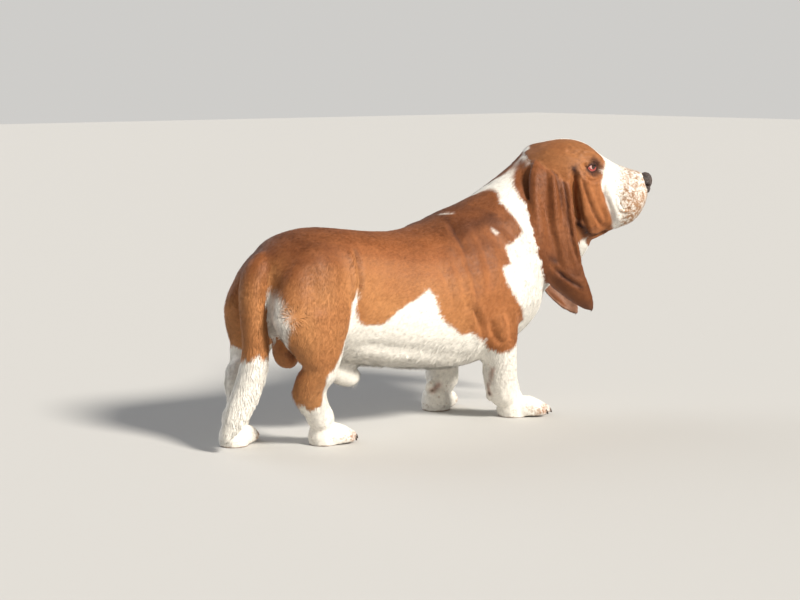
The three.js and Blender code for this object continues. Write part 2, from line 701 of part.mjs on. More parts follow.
// Each leg is parted along its own surface, where that goes into the body, and by a level cut at its top.
const legSkin = 0.4; // how far the cutting surface stands off the leg's own
const below = (height) => block([-500, -250, -50], [500, 250, height]);
for (const { name } of both) {
  part(`foreleg_${name}`, (grow) => forelegs[name](legSkin + grow).intersect(below(elbowCut + grow)));
  part(`hindleg_${name}`, (grow) => hindlegs[name](legSkin + grow).intersect(below(thighCut + grow)));
  part(`thigh_${name}`, (grow) => hindlegs[name](legSkin + grow).intersect(below(hipCut + grow)));
}

part("scrotum", (grow) => scrotum(legSkin + grow).intersect(below(scrotumCut + grow)));

const hangingTail = tailStations.filter((s) => s.at >= 2);
const tailRoom = tailLoft(1.5, hangingTail);
nodes.tail = largest(tailLoft().subtract(barrel(torsoStations, { ...torsoFineness, grow: gap })));
nodes.torso = largest(flesh.subtract(tailRoom));
for (const { name } of both) nodes[`thigh_${name}`] = largest(nodes[`thigh_${name}`].subtract(tailRoom));

// Ears, eyes, nose and jaw

const ears = {
  left: { sweep: -8, drop: 22, narrow: 0.25, laidBack: 0 },
  right: { sweep: 0, drop: 0, narrow: 0, laidBack: 1 },
};
const keepOut = join(
  placed(barrel(headStations, { ...headFineness, grow: gap }), headFrame),
  neckLoft(gap),
  barrel(torsoStations, { ...torsoFineness, grow: gap }),
);
for (const { name, side } of both) {
  const whole = placed(ear(side, ears[name]), headFrame);
  nodes[`ear_${name}`] = largest(whole.subtract(keepOut));
  const ball = ellipsoid(vector(0, 0, 0), vector(1, 1, 1).multiplyScalar(eyeRadius), 14);
  nodes[`eye_${name}`] = placed(ball, headFrame.clone().multiply(eyeFrame(side)));
}
const inHead = (solid) => placed(solid, headFrame);
const toHead = headFrame.clone().invert();
nodes.head = largest(inHead(withEyes(placed(nodes.head, toHead)).subtract(noseLeather(gap))));
nodes.nose = largest(inHead(noseLeather().subtract(nostrils())));
nodes.jaw = inHead(jaw);

// Scene graph

const colours = {
  redCoat: { color: 0x9a5a30, roughness: 0.75, metalness: 0 },
  whiteCoat: { color: 0xece6da, roughness: 0.8, metalness: 0 },
  darkCoat: { color: 0x7a4224, roughness: 0.7, metalness: 0 },
  nose: { color: 0x2c2624, roughness: 0.35, metalness: 0 },
  eye: { color: 0x2a150c, roughness: 0.08, metalness: 0 },
};
const coatOf = {
  torso: "redCoat", neck: "redCoat", head: "redCoat", jaw: "whiteCoat", nose: "nose",
  ear_left: "darkCoat", ear_right: "darkCoat", eye_left: "eye", eye_right: "eye", tail: "redCoat",
  thigh_left: "redCoat", thigh_right: "redCoat",
};

const dog = new THREE.Group();
dog.name = "basset_hound";
for (const [name, solid] of Object.entries(nodes)) {
  const material = new THREE.MeshStandardMaterial(colours[coatOf[name] ?? "whiteCoat"]);
  const mesh = new THREE.Mesh(toGeometry(solid), material);
  mesh.name = name;
  dog.add(mesh);
}

// The origin is on the floor below the middle of the whole.
const middle = new THREE.Box3().setFromObject(dog).getCenter(vector(0, 0, 0));
for (const mesh of dog.children) mesh.geometry.translate(-middle.x, -middle.y, 0);

export default dog;
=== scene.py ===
# A basset hound standing still, its head raised and turned to its right.
# Metres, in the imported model's frame. Shapes are given in mm from the dog's own zero, on the floor
# below its withers, or from the head's zero at the occiput.
import json
import math

import bpy
import numpy as np
from mathutils import Matrix, Vector

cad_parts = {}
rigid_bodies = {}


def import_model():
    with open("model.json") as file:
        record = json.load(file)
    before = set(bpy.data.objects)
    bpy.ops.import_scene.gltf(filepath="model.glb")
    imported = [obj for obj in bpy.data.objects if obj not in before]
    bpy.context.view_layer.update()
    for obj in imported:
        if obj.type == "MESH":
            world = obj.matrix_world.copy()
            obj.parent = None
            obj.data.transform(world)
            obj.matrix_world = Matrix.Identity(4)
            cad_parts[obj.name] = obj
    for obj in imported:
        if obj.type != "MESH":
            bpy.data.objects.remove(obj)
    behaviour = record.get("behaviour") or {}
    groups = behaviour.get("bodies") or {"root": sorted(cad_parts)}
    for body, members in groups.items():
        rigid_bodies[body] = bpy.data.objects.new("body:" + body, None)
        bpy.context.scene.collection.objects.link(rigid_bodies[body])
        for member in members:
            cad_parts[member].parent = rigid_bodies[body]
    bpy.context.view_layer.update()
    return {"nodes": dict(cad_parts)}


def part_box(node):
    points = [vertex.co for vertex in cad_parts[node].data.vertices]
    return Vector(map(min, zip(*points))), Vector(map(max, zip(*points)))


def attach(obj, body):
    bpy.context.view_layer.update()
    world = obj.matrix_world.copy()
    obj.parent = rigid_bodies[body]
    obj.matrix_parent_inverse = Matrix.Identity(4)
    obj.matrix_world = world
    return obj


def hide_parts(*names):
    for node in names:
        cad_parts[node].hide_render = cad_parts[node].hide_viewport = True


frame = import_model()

mm = 0.001


def report(text):
    print("basset:", text)


# Where the dog stands in the frame

dog = {
    "occiput": (269, -16, 451),  # mm from the dog's own zero
    "headYaw": -40,  # degrees, to its right
    "eyeAhead": 98,  # of the occiput
    "eyeBelow": 31,
    "eyeRadius": 11.5,
}


def middleOf(node):
    low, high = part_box(node)
    return np.array((low + high) / 2)


headAxes = np.array(Matrix.Rotation(math.radians(dog["headYaw"]), 3, "Z")).T  # rows point forwards, left, up
eyes = {"left": middleOf("eye_left"), "right": middleOf("eye_right")}
headZero = (eyes["left"] + eyes["right"]) / 2 - mm * (
    dog["eyeAhead"] * headAxes[0] - dog["eyeBelow"] * headAxes[2]
)
home = headZero - mm * np.array(dog["occiput"])


def fromDog(points):
    return np.asarray(points, float) * mm + home


def fromHead(points):
    return (np.asarray(points, float) * mm) @ headAxes + headZero


def toDog(points):
    return (points - home) / mm


def toHead(points):
    return (points - headZero) @ headAxes.T / mm


# Small helpers


def onlySelect(*chosen):
    if bpy.context.object and bpy.context.object.mode != "OBJECT":
        bpy.ops.object.mode_set(mode="OBJECT")
    bpy.ops.object.select_all(action="DESELECT")
    for one in chosen:
        one.select_set(True)
    bpy.context.view_layer.objects.active = chosen[0]


def read(items, field, width=1, kind=np.int32):  # one field of all items of a mesh, as an array
    found = np.empty(len(items) * width, kind)
    items.foreach_get(field, found)
    return found.reshape(-1, width) if width > 1 else found


def placesOf(mesh):
    return read(mesh.vertices, "co", 3, np.float32).astype(float)


def setPlaces(mesh, points):
    mesh.vertices.foreach_set("co", points.astype(np.float32).ravel())
    mesh.update()


def normalsOf(mesh):
    return read(mesh.vertices, "normal", 3, np.float32).astype(float)


def edgesOf(mesh):
    return read(mesh.edges, "vertices", 2)


def turnedBy(points, degrees):  # about the upright axis
    a = math.radians(degrees)
    x, y, z = points.T
    return np.stack([x * math.cos(a) - y * math.sin(a), x * math.sin(a) + y * math.cos(a), z], 1)


def sideOf(name):  # 1 on the left, -1 on the right
    return 1 if name.endswith("left") else -1


def unit(vectors):
    return vectors / np.maximum(np.linalg.norm(vectors, axis=-1, keepdims=True), 1e-12)


def ramp(value, low, high):
    t = np.clip((value - low) / (high - low), 0, 1)
    return t * t * (3 - 2 * t)


def evenOut(values, edges, step, rounds):  # moves each value towards its neighbours' mean
    a, b = edges.T
    count = len(values)
    number = np.maximum(np.bincount(a, minlength=count) + np.bincount(b, minlength=count), 1)
    columns = [values] if values.ndim == 1 else list(values.T)
    done = []
    for column in columns:
        column = column.copy()
        for _ in range(rounds):
            total = np.bincount(a, column[b], count) + np.bincount(b, column[a], count)
            column += step * (total / number - column)
        done.append(column)
    return done[0] if values.ndim == 1 else np.stack(done, 1)


def noise(points, size, seed):  # smooth values from -1 to 1, the same on every run
    p = np.asarray(points, float) / size + seed * 17.31
    base = np.floor(p)
    part = p - base
    part = part * part * (3 - 2 * part)
    total = np.zeros(len(p))
    for corner in range(8):
        offset = np.array([corner & 1, corner >> 1 & 1, corner >> 2 & 1])
        cell = base + offset
        mixed = np.sin(cell @ np.array([12.9898, 78.233, 37.719]) + seed) * 43758.5453
        share = np.prod(np.where(offset, part, 1 - part), axis=1)
        total += share * ((mixed - np.floor(mixed)) * 2 - 1)
    return total


def smoothLine(points, rounds=2):
    line = np.asarray(points, float)
    for _ in range(rounds):
        low = line[:-1] * 0.75 + line[1:] * 0.25
        high = line[:-1] * 0.25 + line[1:] * 0.75
        between = np.stack([low, high], 1).reshape(-1, line.shape[1])
        line = np.concatenate([line[:1], between, line[-1:]])
    return line


def nearLine(points, line):
    # distance to a line, how far along it from 0 to 1, the way there and the line's own way
    best = np.full(len(points), np.inf)
    along = np.zeros(len(points))
    there = np.zeros_like(points)
    ways = np.zeros_like(points)
    lengths = np.linalg.norm(np.diff(line, axis=0), axis=1)
    starts = np.concatenate([[0], np.cumsum(lengths)])
    for i, length in enumerate(lengths):
        way = (line[i + 1] - line[i]) / max(length, 1e-9)
        t = np.clip((points - line[i]) @ way, 0, length)
        offset = points - line[i] - t[:, None] * way
        distance = np.linalg.norm(offset, axis=1)
        closer = distance < best
        best[closer] = distance[closer]
        along[closer] = (starts[i] + t[closer]) / starts[-1]
        there[closer] = offset[closer]
        ways[closer] = way
    return best, along, there, ways


def insideBy(points, outline):  # signed distance to a closed outline, positive inside
    outline = np.asarray(outline, float)
    following = np.roll(outline, -1, axis=0)
    best = np.full(len(points), np.inf)
    inside = np.zeros(len(points), bool)
    for a, b in zip(outline, following):
        way = b - a
        t = np.clip((points - a) @ way / max(way @ way, 1e-9), 0, 1)
        best = np.minimum(best, np.linalg.norm(points - a - t[:, None] * way, axis=1))
        crosses = (a[1] > points[:, 1]) != (b[1] > points[:, 1])
        with np.errstate(divide="ignore", invalid="ignore"):
            at = a[0] + (points[:, 1] - a[1]) * way[0] / way[1]
        inside ^= crosses & (points[:, 0] < at)
    return np.where(inside, best, -best)


# Skin: copies of the solids of flesh, remeshed as one and smoothed

skinMaking = {
    "voxel": 1.8,
    "merge": 0.02,
    "overlap": 0.3,  # closes the cuts between the solids
    "jawOverlap": 1.3,
    "rounds": 80,
    "triangles": 194000,
}
depth = {  # of the skin below the solids, in mm
    "torso": 0.9, "neck": 0.9, "thigh": 0.9, "head": 0.35, "jaw": 0.35, "nose": 2.6, "eye": 0.35, "ear": 0.3,
    "foreleg": 0.6, "hindleg": 0.6, "forepaw": 0.4, "hindpaw": 0.4, "scrotum": 0.4, "tail": 0.8,
}
regions = [
    "torso", "neck", "head", "jaw", "nose", "eye_left", "eye_right", "ear_left", "ear_right",
    "foreleg_left", "foreleg_right", "forepaw_left", "forepaw_right",
    "thigh_left", "thigh_right", "hindleg_left", "hindleg_right", "hindpaw_left", "hindpaw_right",
    "scrotum", "tail",
]
smoothing = {
    "torso": 1.0, "neck": 1.0, "thigh": 0.9, "head": 0.22, "jaw": 0.22, "nose": 0.1, "eye": 0.1, "ear": 0.1,
    "foreleg": 0.5, "hindleg": 0.4, "forepaw": 0.06, "hindpaw": 0.06, "scrotum": 0.3, "tail": 0.4,
}


def kindOf(region):
    return region.split("_")[0]


def isKind(region, *kinds):
    wanted = [number for number, name in enumerate(regions) if kindOf(name) in kinds or name in kinds]
    return np.isin(region, wanted)


def byRegion(table, region):  # a value for each vertex from a table of kinds
    return np.array([table[kindOf(name)] for name in regions])[region]


def mergedCopy(name):  # of a solid, with its loose triangles joined up, left in edit mode
    onlySelect(frame["nodes"][name])
    bpy.ops.object.duplicate()
    copy = bpy.context.object
    copy.data.materials.clear()
    bpy.ops.object.mode_set(mode="EDIT")
    bpy.ops.mesh.select_all(action="SELECT")
    bpy.ops.mesh.remove_doubles(threshold=skinMaking["merge"] * mm)
    return copy


def freed(piece, name):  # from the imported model's parents and marks
    onlySelect(piece)
    bpy.ops.object.parent_clear(type="CLEAR_KEEP_TRANSFORM")
    for key in list(piece.keys()):
        del piece[key]
    piece.name = piece.data.name = name


def joinedCopies():
    copies = []
    for number, name in enumerate(regions):
        copy = mergedCopy(name)
        wide = skinMaking["jawOverlap"] if name == "jaw" else skinMaking["overlap"]
        bpy.ops.transform.shrink_fatten(value=wide * mm)
        bpy.ops.object.mode_set(mode="OBJECT")
        tag = copy.data.attributes.new("region", "INT", "FACE")
        tag.data.foreach_set("value", np.full(len(copy.data.polygons), number, np.int32))
        copies.append(copy)
    onlySelect(*copies)
    bpy.ops.object.join()
    skin = bpy.context.object
    freed(skin, "skin")
    return skin


def remeshed(skin):
    skin.data.remesh_voxel_size = skinMaking["voxel"] * mm
    skin.data.use_remesh_preserve_attributes = True
    onlySelect(skin)
    bpy.ops.object.voxel_remesh()


def regionsOf(mesh):  # for each vertex the number of its region
    tags = read(mesh.attributes["region"].data, "value")
    found = np.zeros(len(mesh.vertices), np.int32)
    found[read(mesh.loops, "vertex_index")] = np.repeat(tags, read(mesh.polygons, "loop_total"))
    return found


def smoothed(skin):
    mesh = skin.data
    region = regionsOf(mesh)
    edges = edgesOf(mesh)
    start = placesOf(mesh)
    steps = evenOut(byRegion(smoothing, region), edges, 0.8, 12)
    end = evenOut(start, edges, 0.8 * steps, skinMaking["rounds"])
    setPlaces(mesh, end)
    normals = normalsOf(mesh)
    sunk = ((start - end) * normals).sum(1)
    sunk = evenOut(sunk, edges, 0.8 * np.maximum(steps, 0.3), skinMaking["rounds"])
    deep = evenOut(byRegion(depth, region), edges, 0.8, 3)
    setPlaces(mesh, end + normals * (sunk - deep * mm)[:, None])


report("joining the solids of flesh")
skin = joinedCopies()
remeshed(skin)
report(f"skin remeshed, {len(skin.data.vertices)} points")
smoothed(skin)
report("skin smoothed")


def withoutScraps(skin):  # keeps the one closed shell of the dog
    mesh = skin.data
    onlySelect(skin)
    bpy.ops.object.mode_set(mode="EDIT")
    bpy.ops.mesh.select_all(action="DESELECT")
    bpy.ops.object.mode_set(mode="OBJECT")
    highest = int(placesOf(mesh)[:, 2].argmax())
    mesh.vertices[highest].select = True
    bpy.ops.object.mode_set(mode="EDIT")
    bpy.ops.mesh.select_mode(type="VERT")
    bpy.ops.mesh.select_linked()
    bpy.ops.mesh.select_all(action="INVERT")
    bpy.ops.mesh.delete(type="VERT")
    bpy.ops.object.mode_set(mode="OBJECT")


withoutScraps(skin)


# Paws: their places, and the claws

clawMaking = {
    "paws": {  # place and turn of each paw, from the dog's zero
        "forepaw_left": (122, 60, 38), "forepaw_right": (184, -62, -27),
        "hindpaw_left": (-319, 38, 32), "hindpaw_right": (-205, -40, -10),
    },
    "foreReach": [49, 60, 59, 46], "foreSpread": [-20, -7, 7, 20],
    "hindReach": [42, 51, 51, 42], "hindSpread": [-18, -6.3, 6.3, 18],
    "fan": 1.1,
    "path": [(-6, 12.5), (1, 12.8), (7, 9.4), (10.5, 4.0)],  # along the toe and above the floor
    "lean": [0, 12, 38, 52],  # degrees
    "wide": [3.8, 3.6, 2.6, 0.8],
    "flat": 0.72,
}

# Folds: creases pressed into the skin along lines on it, with the loose skin raised beside them

folds = {
    # lines on the right side, mirrored to the left: parts, width, depth, how far the skin is raised
    # ahead of or above the line, and behind or below it
    "head": [
        ("ear", 3.0, 2.2, 1.8, 0.4, [
            (48, 61, -33), (52, 68, -56), (57, 74, -86), (60, 79, -122), (67, 82, -161), (80, 80, -200),
        ]),
        ("ear", 5.0, 1.7, 0.9, 0.8, [(33, 56, -25), (42, 71, -56), (48, 77, -94), (54, 80, -127)]),
        ("ear", 6.0, 2.0, 1.6, 1.2, [(5, 50, -28), (8, 71, -61), (16, 81, -110), (25, 86, -160)]),
        ("ear", 3.4, 1.8, 1.2, 1.0, [(25, 85, -189), (42, 83, -206), (66, 82, -224), (84, 77, -233)]),
        ("head jaw", 5.6, 10.5, 1.4, 0.4, [
            (70, 61, -33), (71, 67, -56), (72, 63, -86), (76, 57, -111), (80, 50, -128),
        ]),
        ("head jaw", 4.0, 2.5, 1.8, 0.6, [
            (78, 61, -39), (87, 63, -66), (98, 57, -95), (109, 48, -118), (122, 30, -138),
        ]),
        ("head jaw", 3.4, 1.7, 1.0, 0.8, [
            (76, 66, -63), (81, 60, -95), (88, 53, -123), (101, 37, -146),
        ]),
        ("head jaw", 3.0, 4.6, 0.8, 1.0, [
            (93, 41, -143), (107, 29, -151), (119, 22, -148), (133, 24, -141),
        ]),
        ("head", 1.6, 1.1, 0.0, 0.9, [(85, 55, -35), (94, 53, -43), (107, 43, -45), (120, 31, -38)]),
        ("head", 2.6, 1.7, 0.6, 1.4, [(80, 61, -39), (94, 58, -55), (112, 46, -55), (123, 34, -46)]),
        ("head", 4.0, 1.2, 1.6, 0.0, [(80, 51, -20), (93, 43, -13), (110, 31, -16), (122, 26, -28)]),
        ("head", 5.0, 1.0, 0.8, 0.4, [(57, 43, -3), (72, 48, -11), (88, 42, -8)]),
        ("head", 1.8, 1.8, 0.0, 1.4, [(149, 39, -81), (151, 40, -97), (158, 40, -105), (170, 39, -102)]),
        ("head", 5.0, 1.8, 2.0, 0.8, [
            (123, 38, -54), (119, 43, -71), (127, 41, -88), (136, 40, -109), (139, 31, -132),
        ]),
    ],
    "body": [
        ("torso thigh", 5, 3.4, 0.6, 2.4, [
            (-160, 66, 308), (-163, 80, 288), (-164, 88, 264), (-168, 91, 242), (-176, 91, 221),
        ]),
        ("torso neck", 9, 2.8, 1.2, 1.8, [
            (73, 22, 340), (58, 61, 315), (53, 93, 280), (54, 110, 243), (57, 116, 204),
        ]),
        ("torso", 9, 2.0, 1.0, 1.0, [(35, 76, 296), (32, 100, 263), (34, 112, 228), (36, 115, 191)]),
        ("torso neck", 9, 1.8, 1.2, 0.8, [(97, 51, 334), (92, 87, 299), (91, 108, 263), (88, 116, 227)]),
        ("torso", 9, 1.2, 0.6, 0.4, [(-3, 93, 268), (3, 108, 233), (10, 113, 198)]),
        ("torso foreleg", 6, 5.0, 1.8, 1.6, [(50, 116, 201), (65, 108, 171), (88, 92, 143)]),
        ("torso foreleg", 8, 2.4, 1.0, 1.0, [(117, 116, 196), (131, 119, 166), (127, 118, 138)]),
        ("torso foreleg", 7, 2.4, 1.0, 1.0, [(84, 111, 181), (98, 110, 152), (114, 115, 134)]),
        ("torso", 10, 2.2, 0.0, 1.8, [
            (-165, 63, 154), (-132, 71, 154), (-76, 78, 144), (-18, 84, 137), (44, 75, 127), (83, 64, 120),
        ]),
        ("neck torso", 10, 2.2, 1.6, 1.6, [
            (144, 69, 332), (157, 84, 316), (174, 96, 296), (187, 102, 265),
        ]),
        ("torso thigh", 14, 3.0, 0.0, 0.0, [(-247, 56, 310), (-260, 89, 260), (-250, 102, 210)]),
        ("foreleg", 4, 2.2, 1.2, 1.0, [(111, 81, 95), (119, 82, 78), (127, 71, 55)]),
    ],
}
toeMaking = {
    "along": [
        # from the toe's tip: place along it, share of its spread, height of its middle,
        # share of its width, half height
        (-60, 0.4, 17, 0.9, 15), (-40, 0.78, 17, 0.86, 16), (-24, 1.0, 16, 0.8, 15.5),
        (-12, 1.08, 14, 0.78, 12.5), (0, 1.12, 10, 0.62, 8.5),
    ],
    "cap": 6.5,
    "foreWidth": 11, "hindWidth": 10,
    "melt": 1.1,  # how softly the toes run into each other
    "probe": 0.4,
    "furthest": 6.5,  # that a point moves
}


def pressed(points, normals, line, width, depth, ahead, behind, side, sheet=False):
    low, high = line.min(0) - 4 * width * mm, line.max(0) + 4 * width * mm
    near = np.nonzero(((points > low) & (points < high)).all(1))[0]
    if len(near) == 0:
        return
    distance, along, there, ways = nearLine(points[near], line)
    distance = distance / mm
    taper = ramp(along, 0, 0.16) * (1 - ramp(along, 0.84, 1))
    outward = normals[near]
    if sheet:  # both faces of an ear go the same way
        outward = outward * np.where(outward @ (side * headAxes[1]) < 0, -1.0, 1.0)[:, None]
    facing = -side * np.sign((np.cross(ways, there) * outward).sum(1))
    inward = depth * np.exp(-((distance / width) ** 2))
    beside = np.exp(-(((distance - 2.0 * width) / (1.2 * width)) ** 2))
    raised = np.where(facing > 0, ahead, behind) * beside
    points[near] += outward * ((raised - inward) * taper * mm)[:, None]


def folded(skin):
    mesh = skin.data
    region = regionsOf(mesh)
    for frameName, place in (("head", fromHead), ("body", fromDog)):
        for kinds, width, depth, ahead, behind, line in folds[frameName]:
            for side in (-1, 1):
                points, normals = placesOf(mesh), normalsOf(mesh)
                part = isKind(region, *kinds.split())
                some = points[part]
                curve = place(smoothLine([(x, side * y, z) for x, y, z in line]))
                pressed(some, normals[part], curve, width, depth, ahead, behind, side, kinds == "ear")
                points[part] = some
                setPlaces(mesh, points)


def limbOf(paw):
    return "fore" if paw.startswith("fore") else "hind"


def toesOf(kind):  # how far each toe reaches and how far aside it is
    return zip(clawMaking[kind + "Reach"], clawMaking[kind + "Spread"])


def pawPlaces(points, paw):  # along the paw, to its left and above the floor, in mm
    x, y, turn = clawMaking["paws"][paw]
    return turnedBy(toDog(points) - (x, y, 0), -turn)


def toeDistances(local, kind):  # about how far each point is outside each of the four toes
    at, share, middle, wide, high = np.array(toeMaking["along"]).T
    found = []
    for tip, spread in toesOf(kind):
        u = local[:, 0] - tip
        inner = np.clip(u, -60, 0)
        half = np.interp(inner, at, wide) * toeMaking[kind + "Width"]
        across = (local[:, 1] - spread * np.interp(inner, at, share)) / half
        above = (local[:, 2] - np.interp(inner, at, middle)) / np.interp(inner, at, high)
        ahead = np.maximum(u, 0) / toeMaking["cap"]
        found.append((np.sqrt(across ** 2 + above ** 2 + ahead ** 2) - 1) * half)
    return np.stack(found, 1)


def toesShaped(skin):
    mesh = skin.data
    region = regionsOf(mesh)
    edges = edgesOf(mesh)
    for paw, (_, _, turn) in clawMaking["paws"].items():
        kind = limbOf(paw)
        points = placesOf(mesh)
        part = isKind(region, paw)
        local = pawPlaces(points[part], paw)
        first = local.copy()
        share = ramp(local[:, 0], 4, 20) * (1 - ramp(local[:, 2], 33, 44))

        def field(q):
            return -toeMaking["melt"] * np.log(np.exp(-toeDistances(q, kind) / toeMaking["melt"]).sum(1))

        for _ in range(6):
            here = field(local)
            steps = np.eye(3) * toeMaking["probe"]
            slope = np.stack([(field(local + step) - here) / toeMaking["probe"] for step in steps], 1)
            steep = np.maximum((slope ** 2).sum(1), 0.3)
            local -= (0.7 * share * here / steep)[:, None] * slope
        moved = local - first
        long = np.linalg.norm(moved, axis=1)
        moved *= (np.minimum(long, toeMaking["furthest"]) / np.maximum(long, 1e-6))[:, None]
        moved[:, 2] *= ramp(first[:, 2], 2, 8)
        moved[:, :2] *= (0.35 + 0.65 * ramp(first[:, 2], 0.5, 6))[:, None]
        shift = np.zeros_like(points)
        shift[part] = turnedBy(moved, turn) * mm
        setPlaces(mesh, points + evenOut(shift, edges, 0.5, 1))


folded(skin)
toesShaped(skin)
report("folds and toes")


# Lids: the skin is divided finer round each eye, then laid over the ball

lids = {
    "inset": 1.6,  # of the ball behind its solid
    "reach": 19,
    "spread": 26,
    "wide": 6.5,  # of the lid beyond its edge
    "end": 9,
    "hidden": 2.4,  # how far the skin lies inside the ball
    "turned": 55,  # of the opening, out from straight ahead
    "lowered": 5,
    "thick": 1.5,
    "haw": 3.2,  # how far the red lining stands above the lower lid
    # degrees about the opening
    "upper": [(-45, -7), (-34, 6), (-18, 15), (0, 19), (18, 17), (34, 8), (48, -9)],
    "lower": [(48, -9), (36, -20), (20, -29), (0, -34), (-20, -31), (-36, -19), (-45, -7)],
}


def eyeAxes(side, turned, lowered):  # out, up and ahead, in the frame
    a = math.radians(turned)
    e = math.radians(-lowered)
    out = np.array([math.cos(a) * math.cos(e), side * math.sin(a) * math.cos(e), math.sin(e)]) @ headAxes
    up = unit(headAxes[2] - (headAxes[2] @ out) * out)
    ahead = side * np.cross(out, up)
    return out, up, ahead


def eyeMiddle(name):
    out = eyeAxes(sideOf(name), lids["turned"], lids["lowered"])[0]
    return eyes[name] - out * lids["inset"] * mm


def dividedRound(skin):
    mesh = skin.data
    points = placesOf(mesh)
    close = np.zeros(len(points), bool)
    for name in eyes:
        close |= np.linalg.norm(points - eyeMiddle(name), axis=1) < lids["reach"] * mm
    onlySelect(skin)
    bpy.ops.object.mode_set(mode="EDIT")
    bpy.ops.mesh.select_mode(type="VERT")
    bpy.ops.mesh.select_all(action="DESELECT")
    bpy.ops.object.mode_set(mode="OBJECT")
    mesh.vertices.foreach_set("select", close)
    bpy.ops.object.mode_set(mode="EDIT")
    bpy.ops.mesh.select_mode(type="FACE")
    bpy.ops.mesh.subdivide(number_cuts=2, smoothness=0)
    bpy.ops.mesh.quads_convert_to_tris()
    bpy.ops.object.mode_set(mode="OBJECT")


def lidPlaces(points, name):  # angles about the opening in mm on the ball, and distances from its middle
    out, up, ahead = eyeAxes(sideOf(name), lids["turned"], lids["lowered"])
    offset = points - eyeMiddle(name)
    away = np.linalg.norm(offset, axis=1) / mm
    ways = unit(offset)
    across = np.degrees(np.arctan2(ways @ ahead, ways @ out))
    height = np.degrees(np.arcsin(np.clip(ways @ up, -1, 1)))
    return np.stack([across, height], 1) * dog["eyeRadius"] * math.pi / 180, away, ways


def lidOutlines():  # the edges of the two lids, and the whole opening
    scale = dog["eyeRadius"] * math.pi / 180
    upper = smoothLine(lids["upper"]) * scale
    lower = smoothLine(lids["lower"]) * scale
    return upper, lower, np.concatenate([upper, lower[1:-1]])


def lidsCarved(skin):
    mesh = skin.data
    points = placesOf(mesh)
    upper, lower, whole = lidOutlines()
    radius = dog["eyeRadius"]
    for name in eyes:
        flat, away, ways = lidPlaces(points, name)
        near = (away < lids["reach"] * 1.4) & (np.linalg.norm(flat, axis=1) < lids["spread"])
        flat, far, ways = flat[near], away[near], ways[near]
        inside = insideBy(flat, whole)
        toLower = nearLine(flat, lower)[0]
        below = flat[:, 1] < 0
        lining = (inside > 0) & (toLower < lids["haw"]) & (flat[:, 1] < upper[0][1] + 1)
        behind = radius - lids["hidden"]
        haw = radius + 0.35 - ramp(toLower, lids["haw"] - 0.9, lids["haw"]) * 2.0
        hidden = np.where(lining, haw, behind)
        rim = radius + lids["thick"] + np.where(below, 0.5, 0)
        blended = rim + (np.minimum(far, rim + 4) - rim) * ramp(-inside, 0.6, lids["wide"])
        falling = rim - ramp(-inside, 4, lids["end"]) * 1.5
        lifted = np.where(-inside < lids["end"], np.maximum(far, falling), far)
        outer = np.where(far < rim, lifted, blended)
        outer = np.where(-inside < lids["wide"], outer, np.where(far < rim, np.maximum(outer, far), far))
        creased = 0.9 * np.exp(-(((-inside - 4.2) / 1.1) ** 2)) * ~below * (inside < 0)
        wall = ramp(-inside, -0.8, 0.3)
        distance = hidden + (outer - creased - hidden) * wall
        distance = np.where(inside < -lids["end"], far, distance)
        points[near] = eyeMiddle(name) + ways * distance[:, None] * mm
    setPlaces(mesh, points)


dividedRound(skin)
lidsCarved(skin)
report("lids laid over the eyes")


# Eyes: a ball each, turned to look ahead, with a raised cornea

eyeMaking = {"turned": 38, "raised": 3, "cornea": 31, "bulge": 0.9}


def eyeball(name):
    look = eyeAxes(sideOf(name), eyeMaking["turned"], -eyeMaking["raised"])[0]
    bpy.ops.mesh.primitive_uv_sphere_add(segments=64, ring_count=48, radius=dog["eyeRadius"] * mm)
    ball = bpy.context.object
    ball.name = ball.data.name = f"eyeball_{name}"
    ball.rotation_euler = Vector(look).to_track_quat("Z", "Y").to_euler()
    ball.location = eyeMiddle(name)
    bpy.ops.object.transform_apply(location=True, rotation=True, scale=True)
    points = placesOf(ball.data)
    ways = unit(points - eyeMiddle(name))
    off = np.degrees(np.arccos(np.clip(ways @ look, -1, 1)))
    raised = eyeMaking["bulge"] * (1 - ramp(off, 0, eyeMaking["cornea"] + 6))
    setPlaces(ball.data, points + ways * raised[:, None] * mm)
    turn = ball.data.attributes.new("offGaze", "FLOAT", "POINT")
    turn.data.foreach_set("value", off.astype(np.float32))
    bpy.ops.object.shade_smooth()
    return ball


eyeballs = {name: eyeball(name) for name in eyes}
report("eyes turned ahead")


# Nose leather

noseMaking = {"voxel": 0.7, "smooth": 5}


def noseLeather():
    leather = mergedCopy("nose")
    freed(leather, "nose_leather")
    leather.data.remesh_voxel_size = noseMaking["voxel"] * mm
    bpy.ops.object.voxel_remesh()
    points = placesOf(leather.data)
    setPlaces(leather.data, evenOut(points, edgesOf(leather.data), 0.5, noseMaking["smooth"]))
    bpy.ops.object.shade_smooth()
    return leather


nose = noseLeather()


# Claws: one shape, bent and set at the end of each toe


def clawShape(name, tip, turn):
    bpy.ops.mesh.primitive_uv_sphere_add(segments=16, ring_count=18, radius=1)
    claw = bpy.context.object
    claw.name = claw.data.name = name
    points = placesOf(claw.data)
    t = (1 - points[:, 2]) / 2
    at = np.linspace(0, 1, 4)
    path = np.array(clawMaking["path"])
    along = np.interp(t, at, path[:, 0])
    above = np.interp(t, at, path[:, 1])
    lean = np.interp(t, at, clawMaking["lean"])
    girth = np.sqrt(np.maximum(1 - points[:, 2] ** 2, 0))
    rounding = unit(np.stack([points[:, 0], points[:, 1]], 1) + 1e-12)
    ends = np.minimum(1, girth * 2.2)
    width = np.interp(t, at, clawMaking["wide"]) * ends
    sideways = rounding[:, 0] * width * clawMaking["flat"]
    upward = rounding[:, 1] * width
    local = np.stack([
        along + upward * np.sin(np.radians(lean)), sideways, above + upward * np.cos(np.radians(lean)),
    ], 1)
    return claw, turnedBy(local + (*tip, 0), turn)


